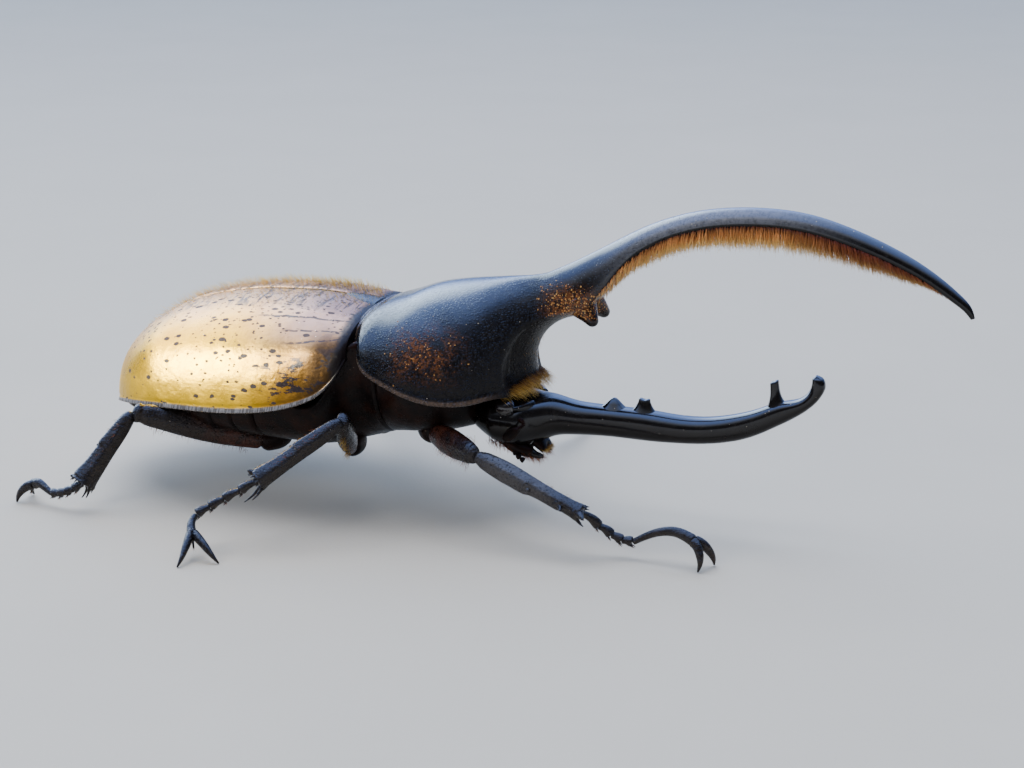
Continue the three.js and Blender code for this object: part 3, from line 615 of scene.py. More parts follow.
def horn_tooth(tooth, sides=36, steps=34):
    """A tooth that flares into the horn's back. A notch in the middle of its top leaves two points."""
    rows = spline(HEAD, np.linspace(0, 1, 900), by_distance(HEAD, 2))
    index = int(np.argmin(np.abs(rows[:, 0] - tooth["x"])))
    ahead = unit(rows[index + 4, :2] - rows[index - 4, :2])
    share = np.linspace(0, 1, steps)[:, None]
    taper = np.clip(1 - 1.05 * share, 0, 1) ** tooth["narrow"]
    top, foot = np.array(tooth["top"]), np.array(tooth["foot"])
    half = top * (1.12 - 0.12 * share) + (foot - top) * taper
    rounding = np.clip((share - 1) * tooth["height"] / tooth["round"] + 1, 0, 0.998)
    half = half * np.sqrt(1 - rounding ** 2)
    across, along = rounded(circle(sides)[None], 2.4)
    along, across = half[:, :1] * along, half[:, 1:] * across
    rise = share * tooth["height"] - 0.35 - across ** 2 / 4.6 * (1 - share)
    rise = rise - tooth["notch"] * (1 - np.clip(np.abs(along) / top[0], 0, 1) ** 1.5) * share ** 6
    back = along + tooth["lean"] * share
    x = rows[index, 0] + ahead[0] * back - ahead[1] * rise
    z = rows[index, 1] + ahead[1] * back + ahead[0] * rise
    return skin(np.stack([x, across, z], axis=-1))


head_teeth = [horn_tooth(tooth) for tooth in HEAD_TEETH]
piece(
    "head_and_horn", [skin(head_rings())] + head_teeth, "black shell",
    "head", "head_horn_base", "head_horn_tip",
)

# %% [markdown]
# ### Eyes, feelers and mouthparts
#
# A beetle's eye is a glossy bulge that a thin ridge, the canthus, cuts in part. The feeler has an elbow:
# a club-shaped first piece, a string of small beads and three leaves that close like a book. Below the
# head sit the notched upper lip, the jaws and the jointed palps.

# %% Eyes
EYE = {"at": [24.9, 6.75, 20.0], "radii": [1.75, 1.45, 1.6]}
EYE_RIDGE = [[28.6, 3.0, 19.8], [27.7, 5.0, 19.8], [26.6, 6.7, 19.85], [25.4, 7.75, 20.0]]


def eye(side):
    """A bulging eye, a little flatter in front."""
    turn = np.linspace(0.02, np.pi - 0.02, 36)[:, None]
    angle = circle(48)[None]
    x = np.sin(turn) * np.cos(angle) * (1 - 0.12 * np.sin(turn) * np.cos(angle))
    ball = np.stack([x, np.broadcast_to(np.cos(turn), x.shape), np.sin(turn) * np.sin(angle)], axis=-1)
    return skin(mirrored(np.array(EYE["at"]) + ball * EYE["radii"], side))


def canthus(side):
    """The ridge of shell that runs into the eye from in front."""
    halves = [[0.7, 1.0], [0.5, 0.8], [0.32, 0.5], [0.14, 0.2]]
    return tube(mirrored(EYE_RIDGE, side), halves, sides=18, steps=26)


for word, side in SIDES:
    piece(f"eye_ball_{word}", [eye(side)], "eye", f"eye_{word}")
    piece(f"eye_ridge_{word}", [canthus(side)], "black shell")

# %% Feelers
FEELER = [[26.2, 5.4, 17.0], [27.2, 6.3, 17.8], [28.0, 7.0, 17.9], [28.4, 7.6, 17.4], [27.5, 7.9, 16.9]]
CLUB = {"at": [26.35, 7.95, 15.75], "radii": [1.75, 0.75, 0.85], "dip": 38}


def bead_chain(points, size, count):
    """Small beads strung along a path."""
    at = through(points, np.linspace(0, 1, count + 1))
    return [
        tube([a, (a + b) / 2, b], [[size * 0.6, size * 0.6], [size, size], [size * 1.1, size * 1.1]],
             sides=14, steps=10, ends=(0.12, 0.14))
        for a, b in zip(at[:-1], at[1:])
    ]


def club_leaf(side, middle, thick):
    """One leaf of the feeler's club."""
    dip = np.radians(CLUB["dip"])
    way = np.array([-np.cos(dip), 0, -np.sin(dip)])
    long, tall = CLUB["radii"][0], CLUB["radii"][2]
    centre = np.array(CLUB["at"]) + [0, middle, 0]
    points = mirrored([centre - way * long, centre, centre + way * long], side)
    halves = [[thick, 0.45 * tall], [thick, 0.95 * tall], [thick, tall], [thick * 0.8, 0.75 * tall]]
    return tube(points, halves, sides=22, steps=26, ends=(0.5, 0.9))


def feeler(side):
    """Scape, beads and club of one feeler."""
    path = mirrored(FEELER, side)
    scape = tube(path[:3], [[0.3, 0.3], [0.42, 0.42], [0.48, 0.48]], sides=16, steps=22, ends=(0.2, 0.35))
    leaves = [club_leaf(side, middle, 0.19) for middle in (-0.44, 0.0, 0.44)]
    return [scape] + bead_chain(path[2:], 0.34, 6) + leaves


for word, side in SIDES:
    piece(f"feeler_{word}", feeler(side), "brown shell", f"antenna_{word}")

# %% Mouthparts
# Sections of the upper lip: x, z, half width, half height. The jaw and the palp are paths.
LIP = [[27.6, 13.3, 2.5, 1.0], [28.7, 12.5, 2.45, 0.9], [29.6, 11.7, 2.2, 0.75], [30.2, 11.1, 1.9, 0.55]]
JAW = [[26.4, 2.9, 12.2], [28.0, 2.9, 11.2], [29.4, 2.5, 10.5], [30.0, 1.7, 10.3]]
PALP = [[25.2, 4.0, 12.4], [26.0, 4.7, 11.1], [27.0, 4.95, 10.5], [27.6, 4.9, 10.1]]


def upper_lip():
    """A short plate whose front edge is notched into two lobes."""
    share = np.linspace(0, 1, 26)[:, None]
    rows = spline(LIP, share[:, 0])
    across, rise = rounded(circle(44)[None], 2.6)
    notch = 0.75 * share ** 3 * (1 - np.abs(across)) ** 1.5
    closing = np.sqrt(np.clip(1 - ramp(share, 0.8, 1.0) ** 2, 0.03, 1))
    x = rows[:, 0:1] + 0.45 * rise - notch
    z = rows[:, 1:2] + rows[:, 3:4] * rise * closing + notch
    return skin(np.stack([x, rows[:, 2:3] * across * (0.75 + 0.25 * closing), z], axis=-1))


def jaw(side):
    """One jaw, hooked inwards, with a tooth before its point."""
    path = mirrored(JAW, side)
    halves = [[0.9, 1.1], [0.85, 0.9], [0.6, 0.6], [0.25, 0.3]]
    blade = tube(path, halves, sides=18, steps=26, ends=(0.3, 0.4))
    tooth = thorn(path[2] + [0, 0, 0.1], path[2] + [0.75, -0.2 * side, -0.35], 0.4, sides=12, steps=12)
    return [blade, tooth]


def palp(side):
    """Four short joints of a palp."""
    return bead_chain(mirrored(PALP, side), 0.46, 4)


def lower_mouth():
    """The chin and the pair of lobes under the jaws, which close the mouth from below."""
    chin = tube([[21.0, 0, 13.6], [24.5, 0, 12.1], [27.6, 0, 11.3]], [[3.6, 1.2], [3.4, 1.3], [2.2, 0.9]],
                sides=36, steps=30, ends=(1.2, 0.9))
    lobes = [
        tube(mirrored([[23.4, 3.6, 13.4], [26.0, 3.5, 12.0], [28.6, 2.5, 10.9]], side),
             [[1.0, 1.0], [1.35, 1.3], [0.9, 0.85]], sides=26, steps=30, ends=(0.9, 0.9))
        for side in (-1, 1)
    ]
    return [chin] + lobes


piece("upper_lip", [upper_lip()], "brown shell", "clypeus")
piece("lower_mouth_parts", lower_mouth(), "brown shell")
for word, side in SIDES:
    piece(f"jaw_{word}", jaw(side), "black shell", f"mandible_{word}")
    piece(f"palp_joints_{word}", palp(side), "brown shell", f"palp_{word}")

# %% [markdown]
# ## The underside
#
# Four plates close the body from below. They share one loft, cut into lengths, so that they always meet.
# The belly is crossed by grooves where its rings overlap, and the breast has a groove along its middle.

# %% Underside plates
# Sections of the underside: x, half width, height of the widest line, height of the lowest line.
UNDERSIDE = [
    [19.0, 7.0, 20.5, 15.0], [15.0, 11.6, 21.5, 14.0], [9.0, 14.4, 22.8, 13.2],
    [3.6, 14.0, 27.0, 12.2], [1.2, 14.6, 30.8, 11.4], [-1.6, 15.6, 28.0, 10.6],
    [-5.0, 16.4, 21.2, 9.8], [-10.5, 17.2, 19.6, 9.4], [-17.5, 17.6, 18.6, 9.8],
    [-24.5, 17.6, 18.0, 10.2], [-31.5, 16.9, 17.6, 10.4], [-38.0, 15.0, 17.0, 10.8],
    [-43.5, 11.9, 16.2, 11.2], [-47.4, 8.0, 14.9, 11.3], [-49.2, 4.2, 13.3, 11.3],
]
PLATES = {
    "prosternum": (19.0, 3.9), "metasternum": (3.9, -17.5), "abdomen": (-17.5, -44.5),
    "pygidium": (-44.5, -49.2),
}
BELLY_GROOVES = [-21.6, -25.7, -29.8, -34.0, -38.6]


def plate(front, back):
    """A length of the underside between two places, with its grooves and rounded edges."""
    rows = spline(UNDERSIDE, np.linspace(0, 1, 900), by_distance(UNDERSIDE, 1))
    rows = rows[(rows[:, 0] <= front) & (rows[:, 0] >= back)]
    x, half, top, low = (rows[:, i:i + 1] for i in range(4))
    angle = np.concatenate([np.linspace(np.pi / 2, 3 * np.pi / 2, 84), np.linspace(-0.42, 0.42, 8) * np.pi])
    across, rise = rounded(angle[None], 2.25)
    edge = np.minimum(np.abs(x - front), np.abs(x - back))
    sink = 0.45 * bump_at(edge, 0, 0.35)
    for groove in BELLY_GROOVES:
        sink = sink + 0.3 * bump_at(x, groove, 0.28) - 0.12 * ramp(x, groove - 2.2, groove) * (x < groove)
    furrow = 0.5 * bump_at(across * half, 0, 0.6) * ramp(x, 5, 1) * ramp(x, -19, -15)
    deep = np.where(rise < 0, (top - low) * rise, 0.35 * rise)
    y = (half - sink) * across
    z = top + deep + (sink + furrow) * np.where(rise < 0, -rise, 0)
    return skin(np.stack([np.broadcast_to(x, y.shape), y, z], axis=-1))


for node, (front, back) in PLATES.items():
    piece(f"{node}_plate", [plate(front, back)], "brown shell", node)

# %% [markdown]
# ## The legs
#
# A leg has four lengths: the hip piece that turns in the breast plate, the thigh, the toothed shin and
# the foot. The table holds the bends of each leg, and the profiles hold half widths and half heights at
# even steps. Ridges run along a real shin, and each tooth ends a low step in it, so the section of the
# shin swells towards a tooth and drops behind it.

# %% Bends and profiles of the legs
LEGS = {
    "fore_right": {
        "base": [9.6, -4.4, 15.0], "hip": [12.2, -8.2, 14.4], "knee": [23.8, -18.0, 14.8],
        "ankle": [43.0, -20.0, 7.8],
        "joints": [[45.4, -18.4, 5.4], [47.3, -17.7, 3.9], [49.0, -17.5, 3.1], [50.8, -17.4, 3.0]],
        "last": [[54.4, -17.3, 5.0], [58.2, -17.5, 5.7], [61.3, -17.8, 4.6]],
        "claws": [[62.3, -19.6, 0], [64.0, -15.6, 0]],
    },
    "fore_left": {
        "base": [9.6, 4.4, 15.0], "hip": [12.2, 8.4, 14.2], "knee": [19.6, 19.0, 14.6],
        "ankle": [22.2, 34.6, 6.2],
        "joints": [[22.8, 36.4, 4.9], [23.0, 37.8, 4.0], [23.2, 39.2, 3.4], [23.4, 40.6, 3.1]],
        "last": [[23.5, 42.6, 3.8], [23.4, 44.6, 4.1], [23.2, 46.2, 3.4]],
        "claws": [[21.0, 49.2, 0], [25.2, 49.6, 0]],
    },
    "mid_right": {
        "base": [-3.5, -4.4, 11.0], "hip": [-3.0, -8.8, 10.4], "knee": [1.6, -22.0, 19.6],
        "ankle": [-9.4, -32.2, 11.0],
        "joints": [[-11.8, -33.8, 9.6], [-14.0, -35.2, 8.4], [-15.9, -36.6, 7.3], [-17.6, -38.0, 6.3]],
        "last": [[-17.8, -39.2, 5.4], [-17.4, -40.2, 4.5], [-16.8, -41.0, 3.7]],
        "claws": [[-17.0, -46.2, 0], [-11.4, -42.4, 0]],
    },
    "mid_left": {
        "base": [-3.5, 4.4, 11.0], "hip": [-3.0, 8.8, 10.4], "knee": [0.2, 22.0, 19.4],
        "ankle": [-11.0, 32.0, 10.4],
        "joints": [[-13.4, 33.6, 9.0], [-15.6, 35.2, 7.8], [-17.4, 36.8, 6.8], [-19.0, 38.2, 5.9]],
        "last": [[-20.0, 39.4, 5.2], [-20.6, 40.8, 4.4], [-20.8, 41.8, 3.6]],
        "claws": [[-23.8, 45.6, 0], [-18.0, 46.2, 0]],
    },
    "hind_right": {
        "base": [-17.0, -4.2, 10.6], "hip": [-19.6, -9.0, 9.6], "knee": [-38.4, -21.4, 16.6],
        "ankle": [-44.8, -28.4, 5.0],
        "joints": [[-46.4, -28.8, 4.0], [-47.9, -28.9, 3.3], [-49.4, -28.8, 2.8], [-50.9, -28.6, 2.6]],
        "last": [[-52.4, -28.2, 3.3], [-54.0, -27.7, 3.8], [-55.4, -27.3, 3.2]],
        "claws": [[-58.0, -28.8, 0], [-57.4, -24.2, 0]],
    },
    "hind_left": {
        "base": [-17.0, 4.2, 10.6], "hip": [-19.6, 9.0, 9.6], "knee": [-37.0, 22.4, 16.2],
        "ankle": [-42.6, 31.2, 5.2],
        "joints": [[-44.0, 32.3, 4.1], [-45.4, 33.2, 3.4], [-46.8, 34.0, 2.8], [-48.2, 34.8, 2.6]],
        "last": [[-49.6, 35.7, 3.3], [-51.0, 36.5, 3.8], [-52.2, 37.2, 3.2]],
        "claws": [[-54.8, 37.0, 0], [-51.8, 40.4, 0]],
    },
}
HIP = [[1.6, 2.0], [2.1, 2.6], [1.9, 2.3], [1.4, 1.7]]
THIGH = [[1.1, 1.5], [1.6, 2.2], [1.7, 2.4], [1.5, 2.1], [1.25, 1.65]]
SHIN = {
    "fore": [[1.15, 1.3], [1.5, 1.8], [1.35, 1.6], [1.15, 1.35], [1.25, 1.4]],
    "mid": [[0.95, 1.15], [1.2, 1.5], [1.2, 1.5], [1.3, 1.55], [1.5, 1.75]],
    "hind": [[0.95, 1.1], [1.25, 1.55], [1.35, 1.65], [1.5, 1.85], [1.8, 2.1]],
}
# Teeth of the shin: share of its length, degrees round from the top to the outer side, length, radius.
SHIN_TEETH = {
    "fore": [[0.5, 100, 0.9, 0.85], [0.79, 105, 1.5, 0.7], [0.97, 80, 2.2, 0.85]],
    "mid": [[0.5, 20, 1.0, 0.75], [0.93, 12, 1.7, 0.85]],
    "hind": [[0.48, 40, 1.1, 0.8], [0.92, 30, 1.5, 0.85]],
}
SPURS = {"fore": [2.2], "mid": [4.4, 3.2], "hind": [3.0, 2.4]}
FOOT_SEGMENT = [[0.56, 0.58], [0.64, 0.66], [0.78, 0.84], [0.82, 0.92]]
LAST_SEGMENT = [[0.5, 0.52], [0.6, 0.66], [0.74, 0.84], [0.9, 1.05]]
CLAW = [[0.72, 0.92], [0.66, 0.82], [0.46, 0.56], [0.13, 0.14]]

# %% Build the legs
def frame_of(start, end):
    """Unit vectors along a length of leg, to its outer side and to its upper side."""
    ahead = unit(end - start)
    outer = unit(np.cross(ahead, [0, 0, -np.sign(start[1])]))
    up = np.cross(outer, ahead)
    return ahead, outer, up * np.sign(up[2])


def hip_piece(leg):
    """A smooth barrel that narrows at both ends."""
    base, hip = np.array(leg["base"]), np.array(leg["hip"])
    return [tube([base, hip + 0.15 * (hip - base)], HIP, sides=36, steps=36, ends=(0.9, 1.3))]


def thigh_piece(leg):
    """A flattened spindle with a ridge above and a knob at the knee."""
    hip, knee = np.array(leg["hip"]), np.array(leg["knee"])

    def ridges(share, angle):
        return 1 + 0.05 * bump_at(np.cos(angle), 1, 0.35) + 0.03 * np.cos(3 * angle) \
            - 0.12 * bump_at(share, 0.93, 0.025) + 0.05 * bump_at(share, 0.975, 0.03)

    return [tube([hip, knee], THIGH, sides=40, steps=70, ends=(1.0, 1.1), shape=ridges)]


def shin_piece(leg, kind):
    """The shin with its ridges, teeth, end spines and spurs."""
    start, end = np.array(leg["knee"]), np.array(leg["ankle"])
    ahead, outer, up = frame_of(start, end)
    turned = np.sign(np.cross(ahead, up) @ outer)

    def ridges(share, angle):
        factor = 1 + 0.05 * np.cos(5 * angle) * ramp(share, 0.1, 0.3) * (1 - 0.6 * ramp(share, 0.8, 1))
        for spot, degrees, _, _ in SHIN_TEETH[kind]:
            near = ramp(np.cos(angle - turned * np.radians(degrees)), -0.3, 1.0)
            factor = factor + 0.16 * near * ramp(share, spot - 0.2, spot) * ramp(share, spot + 0.045, spot)
        return factor - 0.16 * bump_at(share, 0.035, 0.03) + 0.1 * ramp(share, 0.9, 0.99)

    parts = [tube([start, end], SHIN[kind], sides=44, steps=120, ends=(0.8, 0.35), shape=ridges)]
    for spot, degrees, long, radius in SHIN_TEETH[kind]:
        angle = np.radians(degrees)
        wide = spline(SHIN[kind], np.array([spot]))[0, 0]
        out = up * np.cos(angle) + outer * np.sin(angle)
        root = start + spot * (end - start) + out * (wide - 0.55)
        tip = root + out * (0.4 + 0.7 * long) + ahead * 0.75 * long
        parts.append(thorn(root, tip, radius, flare=0.6, blunt=0.26, lean=0.12 * ahead - 0.1 * out))
    for number, long in enumerate(SPURS[kind]):
        lean = -0.35 if number else 0.3
        root = start + 0.95 * (end - start) - 0.9 * up + lean * outer
        tip = root + ahead * long - 0.28 * long * up + 2 * lean * outer
        parts.append(thorn(root, tip, 0.42, flare=0.3, blunt=0.2, lean=-0.08 * long * up))
    wide, tall = SHIN[kind][-1]
    for degrees in range(-150, 211, 40):
        angle = np.radians(degrees)
        way = up * np.cos(angle) + outer * np.sin(angle)
        root = end - 0.25 * ahead + up * np.cos(angle) * tall * 0.95 + outer * np.sin(angle) * wide * 0.95
        parts.append(thorn(root, root + 0.75 * ahead + 0.22 * way, 0.2, flare=0.4, sides=10, steps=9))
    return parts


def claw_path(root, ahead, tip):
    """Points of a claw that bows out of its socket and comes down on its tip."""
    bow = (root + tip) / 2 + 0.9 * ahead + [0, 0, 0.8]
    early = root + 0.3 * (bow - root) + 0.25 * ahead + [0, 0, 0.25]
    late = bow + 0.55 * (tip - bow) + 0.25 * ahead + [0, 0, 0.2]
    return [root, early, bow, late, tip + [0, 0, 0.14]]


def foot_piece(leg):
    """Four short segments, the long arched one, two claws and the little pad between them."""
    stops = [np.array(stop, float) for stop in [leg["ankle"]] + leg["joints"]]
    parts = []
    for start, end in zip(stops[:-1], stops[1:]):
        ahead, outer, up = frame_of(start, end)
        long = np.linalg.norm(end - start)
        bow = (start + end) / 2 + 0.08 * long * up
        parts.append(tube([start - 0.06 * long * ahead, bow, end - 0.04 * long * ahead],
                          FOOT_SEGMENT, sides=22, steps=26, ends=(0.12, 0.3)))
        for side in (-1, 1):
            root = end - 0.28 * ahead - 0.55 * up + 0.3 * side * outer
            parts.append(thorn(root, root + 0.75 * ahead - 0.35 * up, 0.14, flare=0.4, sides=8, steps=8))
    path = np.array([stops[-1]] + leg["last"], float)
    parts.append(tube(path, LAST_SEGMENT, sides=28, steps=46, ends=(0.2, 0.7)))
    ahead = unit(path[-1] - path[-2])
    root = path[-1] - 0.45 * ahead
    tips = np.array(leg["claws"], float)
    for tip in tips:
        start = root + 0.3 * unit(tip - tips.mean(0))
        parts.append(tube(claw_path(start, ahead, tip), CLAW, sides=22, steps=44, ends=(0.35, 0.12)))
    pad = root + 0.5 * ahead - [0, 0, 0.35]
    end = pad + 0.9 * ahead - [0, 0, 1.0]
    parts.append(tube([pad, end], [[0.24, 0.2], [0.16, 0.14]], sides=12, steps=12, ends=(0.1, 0.12)))
    return parts


for name, leg in LEGS.items():
    kind = name.split("_")[0]
    piece(f"hip_{name}", hip_piece(leg), "brown shell", f"coxa_{name}")
    piece(f"thigh_{name}", thigh_piece(leg), "leg shell", f"femur_{name}")
    piece(f"shin_{name}", shin_piece(leg, kind), "leg shell", f"tibia_{name}")
    piece(f"foot_{name}", foot_piece(leg), "leg shell", f"tarsus_{name}")

# %% [markdown]
# ## Hairs
#
# A beetle has few hairs, but each patch of them is plain to see: the brush under the horn, the tuft at
# the neck, the down on the back of the wing cases, the comb along their rims, and bristles on mouth and
# legs. Hair particles would be quick to comb but do not survive as a mesh, so each hair here is a thin
# three-sided spike that bends a little. All the hairs of a patch are worked out at once as arrays. The
# roots of the larger patches are taken from the rings or the surface of the shell that carries them, and
# the bristles of mouth and legs stand along lines in the skin. Two numbers for the place of its root
# become a hair's texture place.

# %% Growing hairs
TUFT_PLACE = 0.003  # side of the texture place of one hair


def on_rings(rings, along, around):
    """Points and outward directions on a shell, by shares of its rings and of the way round them."""
    count, sides = rings.shape[:2]
    row = np.clip(along * (count - 1), 0, count - 1.001)
    column = around * sides
    r, c = row.astype(int), column.astype(int)
    fr, fc = (row - r)[:, None], (column - c)[:, None]
    c, c2 = c % sides, (c + 1) % sides
    near, far, near2, far2 = rings[r, c], rings[r + 1, c], rings[r, c2], rings[r + 1, c2]
    point = (near * (1 - fr) + far * fr) * (1 - fc) + (near2 * (1 - fr) + far2 * fr) * fc
    ahead = (far - near) * (1 - fc) + (far2 - near2) * fc
    aside = (near2 - near) * (1 - fr) + (far2 - far) * fr
    outward = unit(np.cross(ahead, aside))
    inside = point - rings[r].mean(axis=1)
    return point, outward * np.sign(np.einsum("ij,ij->i", outward, inside))[:, None]


def patch_of_hairs(roots, ways, droops, lengths, width, texture_places, finish_name):
    """What a patch of hairs needs: each starts along its way and bends towards its droop."""
    count = len(roots)
    return {
        "roots": np.asarray(roots, float),
        "ways": unit(np.broadcast_to(ways, (count, 3))),
        "droops": np.broadcast_to(np.asarray(droops, float), (count, 3)),
        "lengths": np.broadcast_to(lengths, (count,)),
        "widths": np.broadcast_to(width, (count,)),
        "places": np.asarray(texture_places, float) % 0.997,
        "finish": finish_name,
    }


def grow(name, patches, seed, levels=4):
    """One mesh of all the hairs of some patches."""
    rng = np.random.default_rng(seed)
    keys = ("roots", "ways", "droops", "lengths", "widths", "places")
    joint = {key: np.concatenate([patch[key] for patch in patches]) for key in keys}
    count = len(joint["roots"])
    share = np.linspace(0, 1, levels + 1)
    reach = share[None, :, None]
    bent = reach * joint["ways"][:, None] + reach ** 2 * joint["droops"][:, None]
    path = joint["roots"][:, None] + joint["lengths"][:, None, None] * bent
    ahead = unit(np.gradient(path, axis=1))
    across = unit(np.cross(ahead, rng.normal(size=(count, 1, 3))))
    up = np.cross(across, ahead)
    half = 0.5 * joint["widths"][:, None] * (1 - 0.88 * share ** 1.6)
    angle = np.arange(3) * 2 * np.pi / 3
    round_it = across[:, :, None] * np.cos(angle)[:, None] + up[:, :, None] * np.sin(angle)[:, None]
    points = (path[:, :, None] + half[:, :, None, None] * round_it).reshape(-1, 3)
    per = 3 * (levels + 1)
    side = np.arange(3)
    after = (side + 1) % 3
    one = np.concatenate([
        np.stack([3 * k + side, 3 * k + after, 3 * k + 3 + after, 3 * k + 3 + side], axis=1)
        for k in range(levels)
    ])
    base = np.arange(count) * per
    quads = (one[None] + base[:, None, None]).reshape(-1, 4)
    caps = np.concatenate([
        np.stack([base + 2, base + 1, base], axis=1),
        np.stack([base + per - 3, base + per - 2, base + per - 1], axis=1),
    ])
    along = np.tile(np.repeat(share, 3), count)
    marks = {"along": along, "shade": np.repeat(rng.random(count), per)}
    finishes = sorted({patch["finish"] for patch in patches})
    mesh = smooth_mesh(name, points, quads.tolist() + caps.tolist(), marks, finishes)
    numbers = [finishes.index(patch["finish"]) for patch in patches]
    which = np.repeat(numbers, [len(patch["roots"]) for patch in patches])
    indices = np.concatenate([np.repeat(which, len(one)), which, which]).astype(np.int32)
    mesh.polygons.foreach_set("material_index", indices)
    spot = np.stack([np.tile(side / 2, count * (levels + 1)), along], axis=1) * TUFT_PLACE
    spot += np.repeat(joint["places"], per, axis=0)
    corner = np.empty(len(mesh.loops), np.int32)
    mesh.loops.foreach_get("vertex_index", corner)
    mesh.uv_layers.new(name="OFBake").data.foreach_set("uv", spot[corner].astype(np.float32).ravel())
    hang(name, mesh)
    print(name, count, "hairs,", 2 * len(quads) + len(caps), "triangles")


# %% [markdown]
# ### The brush under the horn
#
# The underside of the horn carries a dense brush, rust-red at the roots and golden at the tips. It starts
# short ahead of the teeth, is longest in the middle and thins out before the tip. The hairs hang nearly
# straight down and lean forward more and more towards the tip.

# %% Horn brush
def horn_brush():
    """Hairs on the downward faces of the horn."""
    rng = np.random.default_rng(11)
    tries = 80000
    along, around = rng.random(tries), rng.random(tries)
    point, outward = on_rings(shield, along, around)
    x = point[:, 0]
    below = -outward[:, 2] + 0.12 * rng.normal(size=tries) * ramp(x, 50, 38)
    dense = ramp(x, 38.5, 44) * ramp(x, 97.5, 90)
    kept = (below > 0.30 + 0.12 * ramp(x, 84, 95)) & (rng.random(tries) < 0.55 * dense)
    point, outward, along, around, x = (a[kept] for a in (point, outward, along, around, x))
    lean = np.radians(np.interp(x, [38, 58, 75, 84, 92, 98], [-14, -2, 3, 15, 30, 42]))
    lean = lean + np.radians(6) * rng.normal(size=len(x))
    spread = 0.22 * outward[:, 1] + 0.07 * rng.normal(size=len(x))
    way = unit(np.stack([np.sin(lean), spread, -np.cos(lean)], axis=1))
    tall = np.interp(x, [39, 44, 52, 62, 72, 82, 88, 93, 97], [1.2, 2.0, 2.7, 3.3, 3.6, 3.2, 2.5, 1.3, 0.5])
    tall = tall * (0.82 + 0.24 * rng.random(len(x)))
    droop = 0.10 * rng.normal(size=(len(x), 3)) + [0.05, 0, 0]
    places = np.stack([along, around], axis=1)
    brush = patch_of_hairs(point - 0.15 * outward, way, droop, tall, 0.1, places, "brush hair")
    grow("horn_brush", [brush], 12)


horn_brush()

# %% [markdown]
# ### The tuft at the neck
#
# Where the shield overhangs the head, a fan of golden hairs closes the gap. It is rooted inside the front
# edge of the shield, and its outer hairs reach over the head. A thin fringe runs on up the throat.

# %% Neck tuft
TUFT_EDGE = [[28.6, 0.0, 24.6], [28.0, 3.6, 24.0], [26.4, 6.4, 23.2], [24.4, 8.6, 22.7]]


def neck_tuft(rng):
    """A fan of hairs at the neck."""
    count = 900
    side = np.clip(0.42 * rng.normal(size=count) - 0.25, -1, 0.45)
    aside = np.abs(side)
    root = spline(TUFT_EDGE, aside) * np.stack([np.ones(count), np.sign(side), np.ones(count)], axis=1)
    root += [-0.5, 0, 0.1] + np.array([0.35, 0.25, 0.3]) * rng.normal(size=(count, 3))
    way = unit(np.stack([
        0.72 + 0.25 * aside + 0.13 * rng.normal(size=count),
        -0.25 * side + 0.15 * rng.normal(size=count),
        -0.68 + 0.45 * aside + 0.14 * rng.normal(size=count),
    ], axis=1))
    long = (1.3 + 1.9 * rng.random(count)) * (1 - 0.2 * aside)
    droop = np.stack([0.1 * np.ones(count), 0.05 * side, -0.12 + 0.12 * rng.normal(size=count)], axis=1)
    spots = np.stack([0.3 + 0.1 * rng.random(count), 0.5 + 0.5 * side], axis=1)
    tuft = patch_of_hairs(root, way, droop, long, 0.045, spots, "tuft hair")
    grow("neck_tuft", [tuft], 22)


def throat_fringe(rng):
    """Short hairs on the front face of the throat."""
    tries = 30000
    along, around = rng.random(tries), rng.random(tries)
    point, outward = on_rings(shield, along, around)
    x, y, _ = point.T
    kept = (outward[:, 0] > 0.75) & (x < 31) & (np.abs(y) < 3.6) & (rng.random(tries) < 0.3)
    point, outward, along, around = (a[kept] for a in (point, outward, along, around))
    way = unit(outward + [0.1, 0, -0.75] + 0.12 * rng.normal(size=point.shape))
    tall = 0.4 + 0.4 * rng.random(len(point))
    fringe = patch_of_hairs(point - 0.05 * outward, way, 0.1 * rng.normal(size=point.shape), tall, 0.035,
                            np.stack([along, around], axis=1), "tuft hair")
    grow("throat_fringe", [fringe], 23, levels=3)


tuft_rng = np.random.default_rng(21)
neck_tuft(tuft_rng)
throat_fringe(tuft_rng)

# %% [markdown]
# ### Down on the wing cases
#
# Short golden bristles stand along the seam, thick on the ridge of the back and sparser down to the
# flanks, all combed backwards. The rim of each wing case carries a comb of much shorter, pale ones.

